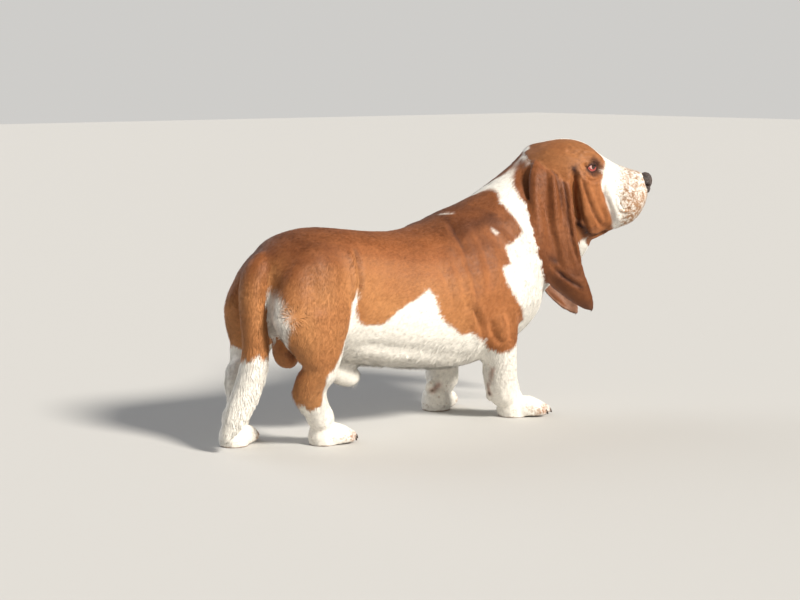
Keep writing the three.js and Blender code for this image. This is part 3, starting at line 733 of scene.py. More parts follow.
def claws():
    made = []
    for paw, (x, y, turn) in clawMaking["paws"].items():
        for reach, spread in toesOf(limbOf(paw)):
            claw, local = clawShape("claws", (reach, spread * clawMaking["fan"]), turn)
            setPlaces(claw.data, fromDog(local + (x, y, 0)))
            made.append(claw)
    onlySelect(*made)
    bpy.ops.object.join()
    joined = bpy.context.object
    joined.name = joined.data.name = "claws"
    bpy.ops.object.mode_set(mode="EDIT")
    bpy.ops.mesh.select_all(action="SELECT")
    bpy.ops.mesh.normals_make_consistent(inside=False)
    bpy.ops.object.mode_set(mode="OBJECT")
    bpy.ops.object.shade_smooth()
    return joined


clawPiece = claws()
report("nose and claws")


# The skin is lightened to its number of triangles, most on the broad body

detail = {  # how freely each part is lightened, below 1
    "torso": 0.64, "neck": 0.52, "thigh": 0.6, "head": 0.1, "jaw": 0.2, "nose": 0.5, "eye": 0.1, "ear": 0.42,
    "foreleg": 0.45, "hindleg": 0.45, "forepaw": 0.1, "hindpaw": 0.1, "scrotum": 0.4, "tail": 0.5,
}


def triangleCount(mesh):
    return sum(len(polygon.vertices) - 2 for polygon in mesh.polygons)


def lightened(skin):
    mesh = skin.data
    region = regionsOf(mesh)
    points = placesOf(mesh)
    weight = byRegion(detail, region)
    for name in eyes:
        away = np.linalg.norm(points - eyeMiddle(name), axis=1) / mm
        weight = np.minimum(weight, ramp(away, 16, 30))
    weight = evenOut(weight, edgesOf(mesh), 0.7, 8)
    group = skin.vertex_groups.new(name="broad")
    levels = np.round(weight * 20) / 20
    for level in np.unique(levels):
        group.add(np.nonzero(levels == level)[0].tolist(), float(level), "REPLACE")
    onlySelect(skin)
    lighter = skin.modifiers.new("lighter", "DECIMATE")
    count = triangleCount(mesh)
    lighter.ratio = skinMaking["triangles"] / count
    lighter.vertex_group = "broad"
    lighter.vertex_group_factor = 1.0
    bpy.ops.object.modifier_apply(modifier="lighter")
    skin.vertex_groups.clear()
    bpy.ops.object.shade_smooth()
    report(f"skin lightened from {count} to {triangleCount(skin.data)} triangles")


lightened(skin)


# Markings: how white, dark, bare and ticked each place is, for the skin and the coat alike; the dark and
# golden values carry painted shade and painted light as well

markings = {
    # outlines as seen from the dog's right, x and z in mm from its own zero
    "belly": [
        (-172, 249), (-168, 243), (-172, 230), (-174, 215), (-167, 196), (-152, 189), (-137, 188),
        (-119, 188),
        (-106, 198), (-93, 208), (-74, 218), (-55, 226), (-40, 234), (-34, 237), (-28, 226),
        (-23, 213), (-17, 197),
        (-7, 186), (8, 175), (23, 165), (35, 159), (50, 160), (83, 140), (100, 100), (-160, 60),
        (-226, 131),
        (-215, 150), (-194, 178), (-186, 216), (-177, 243),
    ],
    "chest": [
        (252, 470), (236, 452), (210, 432), (194, 406), (186, 392), (177, 378), (169, 363),
        (175, 344), (182, 315), (156, 298),
        (140, 293), (142, 269), (118, 262), (122, 241), (132, 221), (155, 197), (184, 170),
        (206, 140), (420, 90), (420, 447),
    ],
    "behindEar": [
        (272, 458), (258, 448), (239, 428), (215, 405), (205, 390), (203, 372), (207, 356),
        (211, 340), (224, 322),
        (262, 290), (300, 330), (330, 450),
    ],
    "cream": [
        (-30, 250), (-55, 248), (-69, 240), (-79, 224), (-83, 206), (-78, 186), (-60, 165),
        (-20, 150), (4, 165), (6, 200), (4, 240),
    ],  # y and z, behind
    "flecks": [[(78, 1, 345), (90, -18, 347), 1.6], [(128, -75, 321), (133, -81, 315), 2.4]],
    "ragged": 2.6,  # how far the edges are torn
    "none": -50.0,  # where there is no white at all
    "farShift": [12.0, -7.0],  # of the outlines on the left side
    "sock": [  # x and its height
        (70, 168), (80, 152), (95, 129), (113, 120), (131, 124), (165, 139), (199, 156),
    ],
    "farSock": 116,
    "shank": [  # height and x
        (60, -245), (70, -229), (104, -234), (119, -238), (131, -226), (150, -215), (165, -205),
    ],
    "shankEnd": [(-275, 78), (-258, 72), (-245, 60), (-229, 66)],  # x and height
    "tailWhite": 148,
    "muzzle": [
        (-26, 128), (-39, 124), (-51, 121), (-61, 118), (-74, 121), (-88, 127), (-102, 132),
        (-117, 138), (-133, 141), (-150, 143),
    ],  # height and how far ahead the white starts
    "blaze": [
        (-8, 0.0), (10, 6.0), (40, 10.5), (80, 11.0), (100, 12.0), (118, 15.0), (127, 21.0),
        (134, 40.0),
    ],
    # painted shade along the creases of the cheek, mouth corner, muzzle and ears: parts, width, strength and
    # points from the head's zero, on both sides
    "dark": [
        ("head jaw", 6.0, 1.0, [
            (70, 61, -33), (71, 67, -56), (72, 63, -86), (76, 57, -111), (80, 50, -128),
        ]),
        ("head jaw", 2.4, 0.55, [(78, 61, -39), (87, 63, -66), (98, 57, -95), (109, 48, -118)]),
        ("head jaw", 2.2, 0.5, [(76, 66, -63), (81, 60, -95), (88, 53, -123)]),
        ("head jaw", 5.0, 1.0, [(86, 47, -132), (98, 37, -146), (112, 27, -150), (130, 23, -145)]),
        ("head jaw", 2.0, 0.9, [(149, 39, -81), (151, 40, -97), (158, 40, -105), (170, 39, -102)]),
        ("ear", 2.6, 0.55, [
            (48, 61, -33), (52, 68, -56), (57, 74, -86), (60, 79, -122), (67, 82, -161),
        ]),
        ("ear", 3.4, 0.35, [(33, 56, -25), (42, 71, -56), (48, 77, -94)]),
        # painted shade under the curled lower edge of the near ear
        ("ear_right", 5.0, 0.5, [(8, 95, -165), (22, 90, -178), (38, 86, -188)]),
        ("ear_right", 3.0, 0.5, [(25, 85, -189), (42, 83, -206), (66, 82, -224), (84, 77, -233)]),
    ],
    "bareLines": [  # pads and bare strips of the wrists, from the dog's zero
        ("foreleg forepaw", 4.5, 0.75, [(114, -91, 93), (121, -78, 74), (124, -67, 60), (130, -65, 47)]),
        ("foreleg forepaw", 6.0, 0.8, [(117, 49, 45), (107, 51, 37)]),
    ],
    "padTips": [(130, -65, 46), (106, 51, 37)],
    # painted shade in the creases of the shoulder, elbow and flank: parts, width, strength and points from
    # the dog's zero
    "bodyCreaseShade": [
        ("torso neck", 4, 0.35, [
            (73, 22, 340), (58, 61, 315), (53, 93, 280), (54, 110, 243), (57, 116, 204),
        ]),
        ("torso foreleg", 4, 0.45, [(50, 116, 201), (65, 108, 171), (88, 92, 143)]),
        ("torso thigh", 4, 0.35, [(-160, 66, 308), (-163, 80, 288), (-164, 88, 264), (-168, 91, 242)]),
    ],
}


def blotch(distance, soft):
    return ramp(distance, -soft, soft)


def spotsOf(points, normals, region):  # where each point lies, on the dog and on its head, a little torn
    p = toDog(points)
    ragged = markings["ragged"]
    torn = ragged * noise(p, 17, 3) + 0.45 * ragged * noise(p, 6, 4)
    p = p + np.stack([torn, 0 * torn, ragged * noise(p, 19, 5)], 1)
    h = toHead(points)
    h = h + np.stack([1.8 * noise(h, 8, 6), 1.2 * noise(h, 7, 7), 1.8 * noise(h, 8, 8)], 1)
    return {
        "points": points, "normals": normals, "region": region, "body": p, "head": h,
        "onHead": isKind(region, "head", "jaw", "nose", "eye"), "onEar": isKind(region, "ear"),
        "onBody": isKind(region, "torso", "neck", "thigh", "foreleg", "hindleg"),
    }


def whiteOnBody(spot):  # mm inside the white's edge, below 0 on red hair
    made, p, region, onBody = markings, spot["body"], spot["region"], spot["onBody"]
    far = p[:, 1] > 8  # the left side, where the outlines are shifted
    flat = p[:, [0, 2]] + ramp(p[:, 1], -25, 35)[:, None] * made["farShift"]
    white = np.full(len(p), made["none"])
    belly = insideBy(flat, made["belly"])
    chest = np.minimum(insideBy(flat, made["chest"]), -insideBy(flat, made["behindEar"]))
    white = np.where(onBody & ~isKind(region, "hindleg"), np.maximum(belly, chest), white)
    under = (spot["normals"][:, 2] < -0.55) & isKind(region, "torso")
    white = np.where(under, 30, white)

    sock = np.interp(p[:, 0], *zip(*made["sock"])) - p[:, 2]
    farSock = made["farSock"] + 6 - p[:, 2]
    white = np.where(isKind(region, "foreleg"), np.maximum(white, np.where(far, farSock, sock)), white)
    inner = (np.abs(p[:, 1] + 1) < 52) & (p[:, 2] < 170) & (p[:, 0] > 60)
    white = np.where(inner & isKind(region, "torso", "foreleg"), np.maximum(white, 20), white)

    edge = np.interp(p[:, 2], *zip(*made["shank"]))
    nearShank = np.maximum(p[:, 0] - edge, np.interp(p[:, 0], *zip(*made["shankEnd"])) - p[:, 2])
    farShank = np.maximum(120 - p[:, 2], 0.5 * (p[:, 0] + 322))
    shank = isKind(region, "hindleg") | (isKind(region, "thigh") & (p[:, 2] < 150))
    white = np.where(shank, np.where(far, farShank, nearShank), white)
    white = np.where(isKind(region, "forepaw", "hindpaw"), 40, white)

    for start, end, radius in made["flecks"]:
        away = nearLine(p, np.array([start, end], float))[0]
        white = np.maximum(white, np.where(onBody, radius - away, made["none"]))
    return white


def whiteOnHead(spot, white):  # the muzzle, blaze, throat and top of the nape
    made, region, onHead = markings, spot["region"], spot["onHead"]
    u, v, w = spot["head"].T
    heights, starts = zip(*made["muzzle"])
    ahead = u - np.interp(-w, [-height for height in heights], starts)
    blaze = np.interp(u, *zip(*made["blaze"])) - np.abs(v - 1.5) - 0.5
    blaze = np.where(w > -60, blaze, made["none"])
    dewlap = -172 + 0.63 * np.clip(u - 65, -30, 60) - w
    throat = np.minimum(dewlap, 96 - u)
    white = np.where(onHead, np.maximum(np.maximum(ahead, blaze), throat), white)
    throatBelow = np.minimum(-w - 150, 52 - np.abs(v))
    onNeck = isKind(region, "neck")
    white = np.where(onNeck & (w < -140) & (u > 20), np.maximum(white, throatBelow), white)
    white = np.where(onNeck & (u > 40) & (np.abs(v) < 80), np.minimum(white, dewlap), white)
    napeTop = np.minimum(-u - 2, 13 - np.abs(v + 3))
    white = np.where(onHead & (w > -60) & (u < 6), np.maximum(white, napeTop), white)
    return np.where(spot["onEar"], made["none"], white)


def whitenessOf(spot):
    p, region = spot["body"], spot["region"]
    white = whiteOnHead(spot, whiteOnBody(spot))
    tail = markings["tailWhite"] + 8 * noise(p, 9, 11) - p[:, 2]
    white = np.where(isKind(region, "tail"), tail, white)
    behind = (p[:, 0] < -225) & isKind(region, "torso", "thigh", "hindleg")
    cream = np.where(behind, insideBy(p[:, 1:], markings["cream"]), markings["none"])
    return np.maximum(blotch(white, 2.6), 0.88 * blotch(cream, 6))


def darkHairAndShadeOf(spot):  # darker hair along the top of the neck, on the crown and ears, and round the eyes, and painted shade on the back, croup and creases
    p, h, region = spot["body"], spot["head"], spot["region"]
    onHead, onEar, up = spot["onHead"], spot["onEar"], spot["normals"][:, 2]
    u, _, w = h.T
    dark = np.zeros(len(p))
    nape = ramp(up, 0.1, 0.8) * ramp(p[:, 0], -20, 90) * isKind(region, "torso", "neck")
    dark += 0.5 * nape * (0.75 + 0.4 * noise(p, 22, 12))
    # painted shade: upward-facing hair on the back darker than the sunlit sides
    dark += 0.25 * ramp(up, 0.3, 0.9) * isKind(region, "torso") * (0.7 + 0.6 * noise(p, 30, 13))
    dark += 0.12 * onHead * ramp(w, -60, -5) + 0.33 * onEar + 0.25 * onHead * (1 - ramp(u, 5, 45))
    masked = np.zeros(len(p))
    for name in eyes:
        shifted = eyeMiddle(name) + mm * (8 * headAxes[0] - 2 * headAxes[2])
        away = np.linalg.norm(spot["points"] - shifted, axis=1) / mm
        masked = np.maximum(masked, (1 - ramp(away, 9, 24 + 4 * noise(p, 6, 14))) * onHead)
    dark += 0.9 * masked
    dark += 0.3 * onEar * ramp(-w, 120, 225) * (0.7 + 0.5 * noise(p, 14, 15))
    # painted shade: upward-facing hair on the croup darker
    croup = ramp(p[:, 2], 215, 290) * (1 - ramp(p[:, 0], -270, -120))
    dark += 0.32 * spot["onBody"] * ramp(up, -0.1, 0.6) * croup
    dark += 0.25 * ramp(p[:, 2], 215, 300) * isKind(region, "tail")
    # painted shade along the creases of the head, ears and body
    for lines, spread in (("dark", h), ("bodyCreaseShade", p)):
        for kinds, width, strength, line in markings[lines]:
            part = np.nonzero(isKind(region, *kinds.split()))[0]
            one = np.stack([spread[part, 0], np.abs(spread[part, 1]), spread[part, 2]], 1)
            away = nearLine(one, np.array(line, float))[0]
            dark[part] += strength * np.exp(-((away / width) ** 2))
    dark += 0.55 * isKind(region, "scrotum") * ramp(noise(p, 6, 17), 0.0, 0.5)
    return np.clip(dark, 0, 1)


def toeShadeAndStains(spot):  # painted shade in the grooves between the toes, stains round their ends, and the beds of the claws
    toeGapShade, stained, beds = np.zeros((3, len(spot["points"])))
    for paw in clawMaking["paws"]:
        part = np.nonzero(isKind(spot["region"], paw))[0]
        local = pawPlaces(spot["points"][part], paw)
        apart = np.sort(toeDistances(local, limbOf(paw)), axis=1)
        between = np.exp(-(((apart[:, 1] - apart[:, 0]) / 2.6) ** 2))
        height = ramp(local[:, 2], 3, 8)
        toeGapShade[part] = between * ramp(local[:, 0], 14, 26) * height * (1 - ramp(local[:, 2], 27, 33))
        stained[part] = ramp(local[:, 0], 8, 40) * (1 - ramp(local[:, 2], 12, 30))
        for reach, spread in toesOf(limbOf(paw)):
            root = (reach - 1, spread * 1.12, 12)
            away = np.linalg.norm(local - root, axis=1)
            beds[part] = np.maximum(beds[part], np.exp(-((away / 6) ** 2)))
    return toeGapShade, stained, beds


def goldAndLitSidesOf(spot, bare):  # how golden red hair is; painted light makes hair on the body's sides more golden than on top, most towards the hindquarters
    p, region, onHead = spot["body"], spot["region"], spot["onHead"]
    gold = 0.3 * onHead * ramp(spot["head"][:, 2], -60, -5) + 0.2 * onHead
    hind = 0.3 + 0.65 * (1 - ramp(p[:, 0], -20, 90))
    # painted light: sideways-facing body hair more golden than the top
    gold += spot["onBody"] * hind * (1 - ramp(spot["normals"][:, 2], 0.0, 0.75))
    gold += 0.75 * isKind(region, "tail") * (1 - ramp(p[:, 2], 235, 300))
    gold = np.where(isKind(region, "scrotum"), 0.9, gold)
    return gold * (0.8 + 0.3 * noise(p, 35, 16)) * (1 - ramp(bare, 0.05, 0.3))


def markingsAt(points, normals, region):
    spot = spotsOf(points, normals, region)
    p, onHead, onEar = spot["body"], spot["onHead"], spot["onEar"]
    u, v, w = spot["head"].T
    whiteness, dark = whitenessOf(spot), darkHairAndShadeOf(spot)
    toeGapShade, stained, beds = toeShadeAndStains(spot)
    # painted shade between the toes: less white and darker there
    whiteness = whiteness * (1 - 0.8 * toeGapShade)
    dark = np.maximum(dark * (1 - 0.97 * whiteness), 0.55 * toeGapShade)
    dark[isKind(region, "nose")] = 1
    whiteness[isKind(region, "nose")] = 0

    facing = np.where(onEar, normals @ headAxes[1] * np.sign(v), 0)
    bare = 0.5 * ramp(-facing, 0.3, 0.8)  # the inner side of the ears
    bare = np.where(isKind(region, "scrotum"), 0.04, bare)
    onPaw = isKind(region, "forepaw", "hindpaw")
    sole = onPaw * (1 - ramp(p[:, 2], 0.6, 2.2)) * (normals[:, 2] < -0.3)
    bare = np.maximum(bare, np.maximum(sole, 0.6 * beds))
    dark = np.maximum(dark, 0.5 * sole)
    for kinds, width, strength, line in markings["bareLines"]:
        part = np.nonzero(isKind(region, *kinds.split()))[0]
        away = nearLine(p[part], np.array(line, float))[0]
        bare[part] = np.maximum(bare[part], strength * np.exp(-((away / width) ** 2)))
    for tip in markings["padTips"]:
        away = np.linalg.norm(p - tip, axis=1)
        black = isKind(region, "foreleg", "forepaw") * np.exp(-((away / 4.5) ** 2))
        dark, bare = np.maximum(dark, black), bare * (1 - black)
        whiteness = whiteness * (1 - black)

    tick = np.zeros(len(p))
    tick += onHead * ramp(u, 128, 168) * (0.8 + 0.2 * ramp(-w, 55, 120))
    tick += 0.3 * onPaw + 0.18 * isKind(region, "foreleg", "hindleg") + 0.45 * stained
    tick *= 1 - sole
    # on red hair the last value says how golden it is, with painted light on the body's sides
    tick = np.clip(np.where(whiteness > 0.5, tick, goldAndLitSidesOf(spot, bare)), 0, 1)
    whole = lidOutlines()[2]
    for name in eyes:
        close = np.nonzero(np.linalg.norm(points - eyeMiddle(name), axis=1) < 24 * mm)[0]
        onLid = lidPlaces(points[close], name)[0]
        inside = insideBy(onLid, whole)
        lining = ramp(inside, -0.5, 0.2) * (1 - ramp(onLid[:, 1], -1.0, 1.0))
        rim = ramp(inside, -3.4, -1.6) * (1 - lining)
        bare[close] = np.maximum(bare[close] * (1 - rim), lining)
        tick[close] = np.maximum(tick[close] * (1 - rim), lining)
        dark[close] = np.maximum(dark[close], rim)
        whiteness[close] *= 1 - rim
    return np.clip(np.stack([whiteness, dark, bare, tick], 1), 0, 1)


def layMarkings(mesh, values):
    layer = mesh.attributes.new("markings", "FLOAT_COLOR", "POINT")
    layer.data.foreach_set("color", values.astype(np.float32).ravel())


def trianglesOf(mesh):
    mesh.calc_loop_triangles()
    return read(mesh.loop_triangles, "vertices", 3)


class Surface:  # what the coat needs to know of the finished skin
    def __init__(self, skin):
        mesh = skin.data
        self.points = placesOf(mesh)
        self.normals = normalsOf(mesh)
        self.edges = edgesOf(mesh)
        self.triangles = trianglesOf(mesh)
        self.region = regionsOf(mesh)


surface = Surface(skin)
skinMarkings = markingsAt(surface.points, surface.normals, surface.region)


# The lie of the coat: guide directions for each part, evened out over the skin

lieGuides = {
    "torso": (-1, 0, -0.42), "neck": (-0.72, 0, -0.75), "thigh": (-0.5, 0, -1), "hindleg": (-0.12, 0, -1),
    "foreleg": (-0.12, 0, -1), "scrotum": (0, 0, -1), "tail": (-0.06, 0, -1),
    "ear": (0.1, 0, -1), "head": (-1, 0, -0.1), "jaw": (-1, 0, -0.2), "nose": (-1, 0, 0), "eye": (-1, 0, 0),
}
lieMaking = {
    "even": 30,
    # place, reach and turn
    "whorls": [(-290, -79, 214, 24, 1), (-290, 59, 214, 24, -1), (212, -8, 196, 30, 1)],
    "turns": [(42, 13), (13, 8)],  # size in mm and degrees
}


def lieOf(surface):
    p = toDog(surface.points)
    h = toHead(surface.points)
    n = surface.normals
    lie = np.zeros_like(p)
    for kind, way in lieGuides.items():
        lie[isKind(surface.region, kind)] = way
    torso, neck = isKind(surface.region, "torso"), isKind(surface.region, "neck")
    for share, way in (
        (ramp(p[:, 0], 120, 200) * torso, [-0.35, 0, -1.0]),  # the breast
        ((1 - ramp(p[:, 0], -330, -230)) * torso, [-0.55, 0, -1.0]),  # the croup
        (ramp(-n[:, 2], 0.3, 0.8) * torso, [-1.0, 0, -0.1]),  # underneath
        (ramp(h[:, 0], -10, 60) * ramp(-h[:, 2], 90, 150) * neck, [-0.1, 0, -1.0]),  # the throat
    ):
        lie = lie * (1 - share[:, None]) + share[:, None] * np.array(way)
    for paw, (_, _, turn) in clawMaking["paws"].items():
        a = math.radians(turn)
        lie[isKind(surface.region, paw)] = (math.cos(a), math.sin(a), -0.35)
    head = isKind(surface.region, "head", "jaw", "nose", "eye")
    u, v, w = h.T
    cheek = ramp(-w, 30, 90) * (1 - ramp(u, 105, 150))
    flew = ramp(-w, 70, 120) * ramp(u, 100, 150)
    side = np.sign(v)
    local = np.stack([
        -1 + 0.35 * cheek + 0.55 * flew, 0.25 * side * ramp(u, 60, 130), 0.12 - 0.75 * cheek - 0.95 * flew,
    ], 1)
    lie[head] = (local @ headAxes)[head]
    ears = isKind(surface.region, "ear")
    lie[ears] = np.array([0.12, 0, -1.0]) @ headAxes
    for _ in range(3):
        lie = evenOut(lie, surface.edges, 0.6, lieMaking["even"] // 3)
        lie = unit(lie - (lie * n).sum(1)[:, None] * n)
    for x, y, z, reach, turn in lieMaking["whorls"]:
        away = p - np.array([x, y, z])
        distance = np.linalg.norm(away, axis=1)
        share = np.exp(-((distance / reach) ** 2))[:, None]
        outward = unit(away - (away * n).sum(1)[:, None] * n)
        swirl = 0.8 * outward + 0.6 * turn * np.cross(n, outward)
        lie = unit(lie * (1 - share) + swirl * share)
    for number, (size, degrees) in enumerate(lieMaking["turns"]):
        a = np.radians(degrees) * noise(p, size, 20 + number)[:, None]
        lie = lie * np.cos(a) + np.cross(n, lie) * np.sin(a)
    return unit(lie)


surface.lie = lieOf(surface)
report("markings and the lie of the coat")


# The coat: tufts of hair as thin closed blades over the skin

coat = {
    "seed": 11,
    "share": 1.0,
    "sunk": 0.35,
    "ridge": 0.24,  # height of a blade, as a share of its width
    "patch": 0.003,  # of each tuft in the chart
    # number for each square centimetre, length, width and lift in degrees
    "torso": (31, 7.6, 1.0, 6), "neck": (31, 7.8, 1.0, 6), "thigh": (31, 7.8, 1.0, 6),
    "foreleg": (34, 6.4, 0.95, 6), "hindleg": (34, 6.8, 0.95, 6), "forepaw": (60, 3.4, 0.7, 12),
    "hindpaw": (60, 3.4, 0.7, 12), "scrotum": (40, 4.5, 0.8, 5), "tail": (30, 8, 1.1, 7),
    "head": (66, 4.4, 0.75, 5), "jaw": (60, 4.2, 0.75, 5), "ear": (44, 5.4, 0.9, 5),
    "nose": (0, 3, 0.5, 5), "eye": (0, 3, 0.5, 5),
}
coatPieces = {  # parts, side of the body, and from where to where along it
    "coat_body_left": ("torso", 1, -60, 400), "coat_body_right": ("torso", -1, -60, 400),
    "coat_croup_left": ("torso", 1, -500, -60), "coat_croup_right": ("torso", -1, -500, -60),
    "coat_neck": ("neck", 0, -500, 500), "coat_quarters": ("thigh scrotum tail", 0, -500, 500),
    "coat_face": ("head jaw", 0, -500, 500), "coat_ears": ("ear", 0, -500, 500),
    "coat_forelegs": ("foreleg forepaw", 0, -500, 500), "coat_hindlegs": ("hindleg hindpaw", 0, -500, 500),
}
chance = np.random.default_rng(coat["seed"])


def rootsOn(surface, wanted, side, start, end, table):
    tri = surface.triangles
    corners = surface.points[tri]
    normal = np.cross(corners[:, 1] - corners[:, 0], corners[:, 2] - corners[:, 0])
    area = np.linalg.norm(normal, axis=1) / 2 * 1e4  # square centimetres
    tag = surface.region[tri[:, 0]]
    middle = toDog(corners.mean(1))
    density = np.zeros(len(tri))
    for kind in wanted.split():
        density[isKind(tag, kind)] = table[kind][0]
    if side:
        density[np.sign(middle[:, 1] + 1) != side] = 0
    density[(middle[:, 0] < start) | (middle[:, 0] >= end)] = 0
    flatNormal = unit(normal)
    density[(middle[:, 2] < 1.6) & (flatNormal[:, 2] < -0.3)] = 0
    expected = area * density * coat["share"]
    count = int(expected.sum())
    picked = np.sort(chance.choice(len(tri), count, p=expected / expected.sum()))
    a, b = chance.random((2, count))
    fold = a + b > 1
    a, b = np.where(fold, 1 - a, a), np.where(fold, 1 - b, b)
    weights = np.stack([1 - a - b, a, b], 1)[:, :, None]
    corner = tri[picked]
    found = {
        "place": (surface.points[corner] * weights).sum(1),
        "normal": unit((surface.normals[corner] * weights).sum(1)),
        "lie": (surface.lie[corner] * weights).sum(1),
        "region": surface.region[corner[:, 0]],
    }
    found["lie"] = unit(found["lie"] - (found["lie"] * found["normal"]).sum(1)[:, None] * found["normal"])
    return found


def bareOpening(places):  # hair stops short of the lids' edges
    whole = lidOutlines()[2]
    bare = np.zeros(len(places), bool)
    for name in eyes:
        flat, away, _ = lidPlaces(places, name)
        near = (away < 24) & (np.linalg.norm(flat, axis=1) < lids["spread"])
        inside = np.full(len(places), -50.0)
        inside[near] = insideBy(flat[near], whole)
        bare |= inside > -1.2
    return bare


def chartOf(roots):  # an unwrap of the skin's own shape, cut by part and by the way it faces
    p = toDog(roots["place"])
    n = roots["normal"]
    facing = np.abs(n).argmax(1) * 2 + (np.take_along_axis(n, np.abs(n).argmax(1)[:, None], 1)[:, 0] > 0)
    keys = roots["region"] * 6 + facing
    flat = np.zeros((len(p), 2))
    boxes = []
    for key in np.unique(keys):
        at = keys == key
        axis = (key % 6) // 2
        pair = p[at][:, [i for i in range(3) if i != axis]]
        low = pair.min(0)
        flat[at] = pair - low
        boxes.append((key, *(pair.max(0) - low + 6)))
    boxes.sort(key=lambda box: -box[2])
    total = sum(box[1] * box[2] for box in boxes)
    wide = max(math.sqrt(total) * 1.12, max(box[1] for box in boxes))
    x = y = row = 0.0
    for key, width, height in boxes:
        if x + width > wide:
            x, y, row = 0.0, y + row, 0.0
        flat[keys == key] += (x, y)
        x += width
        row = max(row, height)
    return flat / max(wide, y + row) * 0.985 + 0.005


def grownTufts(name, roots, sizes):
    count = len(roots["place"])
    length = sizes["length"] * mm
    width = sizes["width"] * mm
    lift = np.radians(sizes["lift"])
    steps = sizes["steps"]
    n, t, p = roots["normal"], roots["lie"], roots["place"]
    s = np.cross(n, t)
    swing = sizes["swing"]
    t = t * np.cos(swing)[:, None] + s * np.sin(swing)[:, None]
    s = np.cross(n, t)
    rings = []
    along = []
    turn = sizes["curl"]
    droop = sizes.get("droop", np.zeros(count))
    up = np.array([0.0, 0.0, 1.0])
    for step in range(steps + 1):
        f = step / (steps + 1) if steps > 0 else 0
        bend = np.sin(f * math.pi * sizes.get("bends", 1)) * turn
        centre = (
            p + t * (length * f * np.cos(lift))[:, None]
            + n * (length * f * np.sin(lift) * (1.25 - 0.5 * f) - coat["sunk"] * mm * (1 - f) ** 2)[:, None]
            + s * (bend * length)[:, None] - up * (droop * length * f ** 2)[:, None]
        )
        thick = width * (0.8 if step == 0 else 1.0 - 0.35 * f)
        half = s * (thick / 2)[:, None]
        rings.append([centre - half, centre + half, centre + n * (thick * coat["ridge"])[:, None]])
        along += [f, f, f]
    tip = p + t * (length * np.cos(lift))[:, None]
    tip = tip + n * (length * np.sin(lift) * sizes["tipLift"])[:, None]
    tip = tip + s * (sizes["wave"] * length)[:, None] - up * (droop * length)[:, None]
    along.append(1.0)
    places = np.stack([corner for ring in rings for corner in ring] + [tip], 1)
    each = places.shape[1]
    faces = [(0, 2, 1)]
    for step in range(steps):
        a = step * 3
        for i in range(3):
            j = (i + 1) % 3
            faces += [(a + i, a + 3 + j, a + 3 + i), (a + i, a + j, a + 3 + j)]
    last = steps * 3
    faces += [(last + i, last + (i + 1) % 3, each - 1) for i in range(3)]
    faces = np.array(faces)
    allFaces = (faces[None] + (np.arange(count) * each)[:, None, None]).reshape(-1, 3)
    mesh = bpy.data.meshes.new(name)
    mesh.vertices.add(count * each)
    mesh.loops.add(len(allFaces) * 3)
    mesh.polygons.add(len(allFaces))
    mesh.vertices.foreach_set("co", places.reshape(-1, 3).astype(np.float32).ravel())
    mesh.loops.foreach_set("vertex_index", allFaces.astype(np.int32).ravel())
    mesh.polygons.foreach_set("loop_start", np.arange(0, len(allFaces) * 3, 3, dtype=np.int32))
    mesh.update(calc_edges=True)
    piece = bpy.data.objects.new(name, mesh)
    bpy.context.scene.collection.objects.link(piece)

    layMarkings(mesh, np.repeat(roots["markings"], each, axis=0))
    layer = mesh.attributes.new("alongHair", "FLOAT", "POINT")
    layer.data.foreach_set("value", np.tile(along, count).astype(np.float32))
    layer = mesh.attributes.new("tuftShade", "FLOAT", "POINT")
    layer.data.foreach_set("value", np.repeat(sizes["shade"], each).astype(np.float32))

    chart = chartOf(roots)
    across = np.array([v for _ in rings for v in (0.0, 1.0, 0.5)] + [0.5])
    patch = np.stack([across, along], 1) * coat["patch"]
    uvPoint = (chart[:, None] + patch[None]).reshape(-1, 2)
    uv = mesh.uv_layers.new(name="OFBake")
    uv.data.foreach_set("uv", uvPoint[allFaces.ravel()].astype(np.float32).ravel())

    own = normalsOf(mesh)
    soft = unit(0.82 * np.repeat(unit(n + np.outer(1.2 * droop, up)), each, axis=0) + 0.34 * own)
    mesh.polygons.foreach_set("use_smooth", np.ones(len(allFaces), bool))
    mesh.normals_split_custom_set_from_vertices(soft)
    return piece


def tuftSizes(roots, table):
    count = len(roots["place"])
    p = toDog(roots["place"])
    base = np.array([table[kindOf(name)][1:4] for name in regions])[roots["region"]]
    clump = noise(p, 9, 31)
    vary = chance.random((5, count))
    return {
        "length": base[:, 0] * (0.75 + 0.45 * vary[0]),
        "width": base[:, 1] * (0.8 + 0.4 * vary[1]),
        "lift": base[:, 2] * (0.7 + 0.7 * vary[2]) + 2.0 * clump,
        "swing": np.radians(9) * (vary[3] * 2 - 1) + np.radians(8) * noise(p, 7, 32),
        "curl": 0.05 * (vary[4] * 2 - 1),
        "wave": 0.08 * noise(p, 8, 33) + 0.05 * (vary[0] - 0.5),
        "tipLift": 0.85 + 0.3 * vary[1],
        "shade": np.clip(0.5 + 0.3 * (vary[2] - 0.5) + 0.28 * clump, 0, 1),
    }


coatObjects = []


def grownPiece(name, wanted, side, start, end):
    roots = rootsOn(surface, wanted, side, start, end, coat)
    keep = ~bareOpening(roots["place"])
    roots = {key: value[keep] for key, value in roots.items()}
    roots["markings"] = markingsAt(roots["place"], roots["normal"], roots["region"])
    sizes = tuftSizes(roots, coat)
    sizes["steps"] = 0
    piece = grownTufts(name, roots, sizes)
    coatObjects.append(piece)
    report(f"{name}: {len(roots['place'])} tufts, {len(piece.data.polygons)} faces")


for pieceName, where in coatPieces.items():
    grownPiece(pieceName, *where)


# Locks: longer hair on the belly, tail, buttocks, breast, elbows and hocks

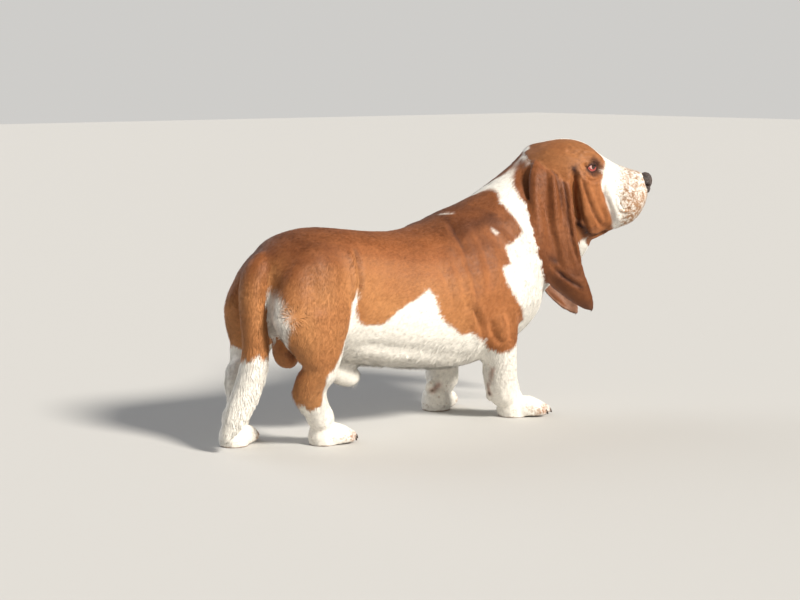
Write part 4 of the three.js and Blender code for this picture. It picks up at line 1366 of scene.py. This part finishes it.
locks = {
    # parts, number for each square centimetre, length, width, lift in degrees, curl and droop
    "locks_belly": ("torso", 16, 9, 0.75, 8, 0.06, 0.6),
    "locks_tail": ("tail", 30, 16, 1.1, 8, 0.12, 0.0),
    "locks_seat": ("torso thigh", 44, 15, 1.1, 14, 0.20, 0.0),
    "locks_breeches": ("thigh hindleg", 15, 10, 1.1, 15, 0.12, 0.0),
    "locks_breast": ("torso neck", 12, 10, 1.0, 9, 0.10, 0.0),
    "locks_elbows": ("foreleg torso", 16, 10, 1.1, 16, 0.12, 0.0),
}
lockSteps = 3


def lockShare(name, p, n):  # where each kind of lock grows, from 0 to 1
    x, _, z = p.T
    if name == "locks_belly":
        lengthwise = ramp(x, -200, -140) * (1 - ramp(x, 50, 110))
        return lengthwise * ramp(-n[:, 2], 0.3, 0.8) * (1 - ramp(z, 130, 160))
    if name == "locks_tail":
        return 1 - ramp(z, 120, 225)
    if name == "locks_seat":
        return (x < -222) * ramp(insideBy(p[:, 1:], markings["cream"]), -10, 0) * (z > 120)
    if name == "locks_breeches":
        return ramp(-n[:, 0], 0.25, 0.7) * ramp(z, 50, 75) * (1 - ramp(z, 190, 250))
    if name == "locks_breast":
        return ramp(x, 130, 190) * ramp(n[:, 0], 0.0, 0.5) * (1 - ramp(z, 260, 330))
    return ramp(-n[:, 0], 0.2, 0.7) * ramp(x, 40, 60) * ramp(z, 50, 75) * (1 - ramp(z, 130, 165))


def grownLocks(name, kinds, number, length, width, lift, curl, droop):
    table = {kind: (number, length, width, lift) for kind in kinds.split()}
    roots = rootsOn(surface, kinds, 0, -500, 500, table)
    p = toDog(roots["place"])
    keep = chance.random(len(p)) < lockShare(name, p, roots["normal"]) * (0.6 + 0.5 * noise(p, 12, 41))
    roots = {key: value[keep] for key, value in roots.items()}
    roots["markings"] = markingsAt(roots["place"], roots["normal"], roots["region"])
    p = p[keep]
    vary = chance.random((3, len(p)))
    clump = noise(p, 11, 42)
    sizes = {
        "length": length * (0.55 + 0.6 * vary[0]) * (0.85 + 0.25 * clump),
        "width": width * (0.75 + 0.5 * vary[1]),
        "lift": lift * (0.5 + 0.8 * vary[2]) + 5 * noise(p, 7, 43),
        "swing": np.radians(22) * noise(p, 13, 44) + np.radians(7) * (vary[1] - 0.5),
        "curl": curl * (clump + 0.4 * (vary[2] - 0.5)), "bends": 1.7,
        "wave": 0.25 * noise(p, 10, 45), "tipLift": 0.55 + 0.3 * vary[0],
        "shade": np.clip(0.5 + 0.35 * clump + 0.25 * (vary[0] - 0.5), 0, 1),
        "droop": np.full(len(p), droop), "steps": lockSteps,
    }
    piece = grownTufts(name, roots, sizes)
    coatObjects.append(piece)
    report(f"{name}: {len(p)} locks, {len(piece.data.polygons)} faces")


for lockName, lockKind in locks.items():
    grownLocks(lockName, *lockKind)


# Finishes

palette = {  # as seen in the photograph, from 0 to 255
    "red": (146, 85, 44), "redLight": (158, 95, 52), "gold": (188, 130, 80), "deep": (58, 27, 14),
    "cream": (246, 241, 231), "ticked": (170, 130, 98), "pink": (162, 126, 106),
    "leather": (48, 40, 38), "leatherWorn": (104, 86, 78),
    "claw": (48, 36, 30), "clawTip": (112, 92, 74), "iris": (52, 27, 13), "irisRim": (18, 9, 6),
    "pupil": (5, 4, 4), "eyeWhite": (214, 166, 158), "haw": (158, 62, 58),
}


def tone(name):
    linear = [((c / 255 + 0.055) / 1.055) ** 2.4 if c > 10 else c / 255 / 12.92 for c in palette[name]]
    return (*linear, 1)


class Nodes:  # short ways to place and join shader nodes
    def __init__(self, tree):
        self.tree = tree

    def add(self, kind, **settings):
        node = self.tree.nodes.new(kind)
        for key, value in settings.items():
            if key.startswith("in_"):
                node.inputs[key[3:].replace("_", " ")].default_value = value
            else:
                setattr(node, key, value)
        return node

    def join(self, out, into):
        self.tree.links.new(out, into)

    def feed(self, sockets, values):  # joins what is a socket and sets what is a number
        for socket, value in zip(sockets, values):
            if hasattr(value, "is_linked"):
                self.join(value, socket)
            else:
                socket.default_value = value

    def math(self, operation, a, b):
        node = self.add("ShaderNodeMath", operation=operation)
        self.feed(node.inputs, (a, b))
        return node.outputs[0]

    def mix(self, share, a, b):
        node = self.add("ShaderNodeMix", data_type="RGBA")
        self.feed((node.inputs[0], node.inputs[6], node.inputs[7]), (share, a, b))
        return node.outputs[2]

    def place(self):
        return self.add("ShaderNodeTexCoord").outputs["Object"]

    def attribute(self, name):
        return self.add("ShaderNodeAttribute", attribute_name=name)

    def spread(self, value, low, high, newLow=0.0, newHigh=1.0):
        node = self.add("ShaderNodeMapRange")
        self.join(value, node.inputs["Value"])
        for key, number in (("From Min", low), ("From Max", high), ("To Min", newLow), ("To Max", newHigh)):
            node.inputs[key].default_value = number
        return node.outputs[0]

    def noise(self, coordinates, scale, detail=3.0, roughness=0.55):
        node = self.add("ShaderNodeTexNoise", in_Scale=scale, in_Detail=detail, in_Roughness=roughness)
        self.join(coordinates, node.inputs["Vector"])
        return node.outputs["Fac"]

    def brightened(self, colour, value):
        node = self.add("ShaderNodeHueSaturation")
        self.join(colour, node.inputs["Color"])
        self.join(value, node.inputs["Value"])
        return node.outputs[0]

    def bumped(self, height, shader, strength, distance):
        node = self.add("ShaderNodeBump", in_Strength=strength, in_Distance=distance)
        self.join(height, node.inputs["Height"])
        self.join(node.outputs[0], shader.inputs["Normal"])


def newGroup(name, outputs):
    group = bpy.data.node_groups.new(name, "ShaderNodeTree")
    for title, kind in outputs:
        group.interface.new_socket(title, in_out="OUTPUT", socket_type=kind)
    nodes = Nodes(group)
    return group, nodes, nodes.add("NodeGroupOutput")


def coatColours():  # the dog's colours from the markings, shared by skin and coat
    group, nodes, out = newGroup("basset colours", [
        ("Colour", "NodeSocketColor"), ("Roughness", "NodeSocketFloat"),
    ])
    place = nodes.place()
    marks = nodes.attribute("markings")
    split = nodes.add("ShaderNodeSeparateColor")
    nodes.join(marks.outputs["Color"], split.inputs[0])
    white, dark, bare = split.outputs
    tick = marks.outputs["Alpha"]
    broad = nodes.noise(place, 26)
    fine = nodes.noise(place, 190)
    red = nodes.mix(nodes.spread(broad, 0.35, 0.65), tone("red"), tone("redLight"))
    # the dark value brings painted shade as well as darker hair, and the golden value painted light on the
    # body's sides
    red = nodes.mix(dark, nodes.mix(tick, red, tone("gold")), tone("deep"))
    small = nodes.math("MULTIPLY", nodes.noise(place, 330, 1.5, 0.5), 0.45)
    specks = nodes.math("ADD", small, nodes.math("MULTIPLY", nodes.noise(place, 130, 2.5), 0.55))
    ticked = nodes.spread(nodes.math("ADD", specks, nodes.math("MULTIPLY", tick, 0.36)), 0.68, 0.9)
    pale = nodes.mix(ticked, tone("cream"), tone("ticked"))
    whole = nodes.mix(white, red, pale)
    whole = nodes.mix(bare, whole, nodes.mix(tick, tone("pink"), tone("haw")))
    value = nodes.spread(fine, 0.3, 0.7, 0.88, 1.1)
    nodes.join(nodes.brightened(whole, value), out.inputs["Colour"])
    nodes.join(nodes.spread(fine, 0.2, 0.8, 0.5, 0.68), out.inputs["Roughness"])
    return group


colours = coatColours()


def newMaterial(name, **settings):
    material = bpy.data.materials.new(name)
    material.use_nodes = True
    nodes = Nodes(material.node_tree)
    shader = material.node_tree.nodes["Principled BSDF"]
    for key, value in settings.items():
        shader.inputs[key.replace("_", " ")].default_value = value
    return material, nodes, shader


def skinFinish():
    material, nodes, shader = newMaterial(
        "skin under the coat", Sheen_Weight=0.05, Sheen_Roughness=0.5, Specular_IOR_Level=0.3,
    )
    group = nodes.add("ShaderNodeGroup", node_tree=colours)
    nodes.join(group.outputs["Colour"], shader.inputs["Base Color"])
    nodes.join(group.outputs["Roughness"], shader.inputs["Roughness"])
    nodes.bumped(nodes.noise(nodes.place(), 900, 2.0), shader, 0.35, 0.0006)
    return material


def hairFinish():
    material, nodes, shader = newMaterial(
        "short hair", Sheen_Weight=0.06, Sheen_Roughness=0.45, Specular_IOR_Level=0.25,
    )
    group = nodes.add("ShaderNodeGroup", node_tree=colours)
    shade = nodes.attribute("tuftShade").outputs["Fac"]
    along = nodes.attribute("alongHair").outputs["Fac"]
    # painted shade: each tuft darker at its root and a little lighter at its tip, besides its own tone
    value = nodes.math("ADD", nodes.spread(shade, 0, 1, 0.78, 1.18), nodes.spread(along, 0, 1, -0.1, 0.08))
    nodes.join(nodes.brightened(group.outputs["Colour"], value), shader.inputs["Base Color"])
    nodes.join(group.outputs["Roughness"], shader.inputs["Roughness"])
    return material


layMarkings(skin.data, skinMarkings)
skin.data.materials.clear()
skin.data.materials.append(skinFinish())
hair = hairFinish()
for piece in coatObjects:
    piece.data.materials.append(hair)


def leatherFinish():
    material, nodes, shader = newMaterial("nose leather", Coat_Roughness=0.25, Specular_IOR_Level=0.5)
    place = nodes.place()
    cells = nodes.add("ShaderNodeTexVoronoi", feature="DISTANCE_TO_EDGE", in_Scale=620.0)
    nodes.join(place, cells.inputs["Vector"])
    grain = nodes.spread(cells.outputs["Distance"], 0.0, 0.25)
    worn = nodes.spread(nodes.noise(place, 60), 0.4, 0.7)
    nodes.join(nodes.mix(worn, tone("leather"), tone("leatherWorn")), shader.inputs["Base Color"])
    nodes.join(nodes.spread(grain, 0, 1, 0.5, 0.32), shader.inputs["Roughness"])
    nodes.bumped(grain, shader, 0.6, 0.0006)
    return material


def hornFinish():
    material, nodes, shader = newMaterial("claw horn", Roughness=0.35)
    place = nodes.place()
    stretch = nodes.add("ShaderNodeMapping")
    stretch.inputs["Scale"].default_value = (300, 300, 900)
    nodes.join(place, stretch.inputs["Vector"])
    grain = nodes.noise(stretch.outputs[0], 1.0, 3.0)
    horn = nodes.mix(nodes.spread(grain, 0.45, 0.75), tone("claw"), tone("clawTip"))
    nodes.join(horn, shader.inputs["Base Color"])
    nodes.bumped(grain, shader, 0.3, 0.0003)
    return material


def eyeFinish():
    material, nodes, shader = newMaterial(
        "wet eye", Roughness=0.15, Coat_Weight=0.6, Coat_Roughness=0.04, Specular_IOR_Level=0.4,
    )
    off = nodes.attribute("offGaze").outputs["Fac"]
    streaks = nodes.noise(nodes.place(), 700, 4.0)
    paler = tuple(value * share for value, share in zip(tone("iris"), (1.9, 1.7, 1.4, 1)))
    iris = nodes.mix(nodes.spread(streaks, 0.35, 0.7), tone("iris"), paler)
    iris = nodes.mix(nodes.spread(off, 24, 30), iris, tone("irisRim"))
    inner = nodes.mix(nodes.spread(off, 12.5, 14), tone("pupil"), iris)
    white = nodes.mix(nodes.spread(off, 40, 75), tone("eyeWhite"), tone("haw"))
    nodes.join(nodes.mix(nodes.spread(off, 30.5, 33), inner, white), shader.inputs["Base Color"])
    return material


nose.data.materials.append(leatherFinish())
clawPiece.data.materials.append(hornFinish())
wet = eyeFinish()
for ball in eyeballs.values():
    ball.data.materials.append(wet)
report("finishes")


# Camera, light and floor

camera = {"place": (-1901.6, -2237.5, 585.3), "azimuth": -40.21, "down": 7.34, "lens": 81}
bpy.ops.object.camera_add(location=fromDog(camera["place"]))
eye = bpy.context.object
eye.name = "camera"
eye.rotation_euler = (math.radians(90 - camera["down"]), 0, math.radians(camera["azimuth"]))
eye.data.lens = camera["lens"]
eye.data.sensor_width = 36
eye.data.clip_end = 60
bpy.context.scene.camera = eye


studio = {  # lights: azimuth from ahead, elevation, strength, width in degrees and colour
    "key light": (-80, 36, 5.2, 13, (1.0, 0.95, 0.87)),
    "fill light": (105, 28, 1.1, 50, (0.92, 0.95, 1.0)),
    "sky": ((0.86, 0.88, 0.91, 1), 0.3),
    "behind": ((0.62, 0.61, 0.59, 1), 1.0),  # what the camera sees past the floor
    "floor": (0.55, 0.54, 0.52, 1),
    "floorSize": 30,
}


def sunLight(name, azimuth, elevation, strength, width, colour):
    bpy.ops.object.light_add(type="SUN", location=(0, 0, 2))
    light = bpy.context.object
    light.name = name
    light.data.energy = strength
    light.data.angle = math.radians(width)
    light.data.color = colour
    a, e = math.radians(azimuth), math.radians(elevation)
    towards = Vector((math.cos(a) * math.cos(e), math.sin(a) * math.cos(e), math.sin(e)))
    light.rotation_euler = towards.to_track_quat("Z", "Y").to_euler()


for name in ("key light", "fill light"):
    sunLight(name, *studio[name])

world = bpy.data.worlds.new("studio")
bpy.context.scene.world = world
world.use_nodes = True
sky = Nodes(world.node_tree)
lit = world.node_tree.nodes["Background"]
lit.inputs["Color"].default_value, lit.inputs["Strength"].default_value = studio["sky"]
seen = sky.add("ShaderNodeBackground")
seen.inputs["Color"].default_value, seen.inputs["Strength"].default_value = studio["behind"]
either = sky.add("ShaderNodeMixShader")
sky.join(sky.add("ShaderNodeLightPath").outputs["Is Camera Ray"], either.inputs[0])
sky.join(lit.outputs[0], either.inputs[1])
sky.join(seen.outputs[0], either.inputs[2])
sky.join(either.outputs[0], world.node_tree.nodes["World Output"].inputs["Surface"])
bpy.context.scene.view_settings.view_transform = "Standard"

bpy.ops.mesh.primitive_plane_add(size=studio["floorSize"])
floor = bpy.context.object
floor.name = floor.data.name = "studio floor"
paint = bpy.data.materials.new("studio floor")
paint.use_nodes = True
paint.node_tree.nodes["Principled BSDF"].inputs["Base Color"].default_value = studio["floor"]
paint.node_tree.nodes["Principled BSDF"].inputs["Roughness"].default_value = 0.9
floor.data.materials.append(paint)


# Hand over

flesh = [name for name in regions if kindOf(name) not in ("eye", "nose")]
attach(skin, "root")
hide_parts(*flesh)
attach(nose, "root")
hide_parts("nose")
for name, ball in eyeballs.items():
    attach(ball, "root")
    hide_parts(f"eye_{name}")
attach(clawPiece, "root")
for piece in coatObjects:
    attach(piece, "root")
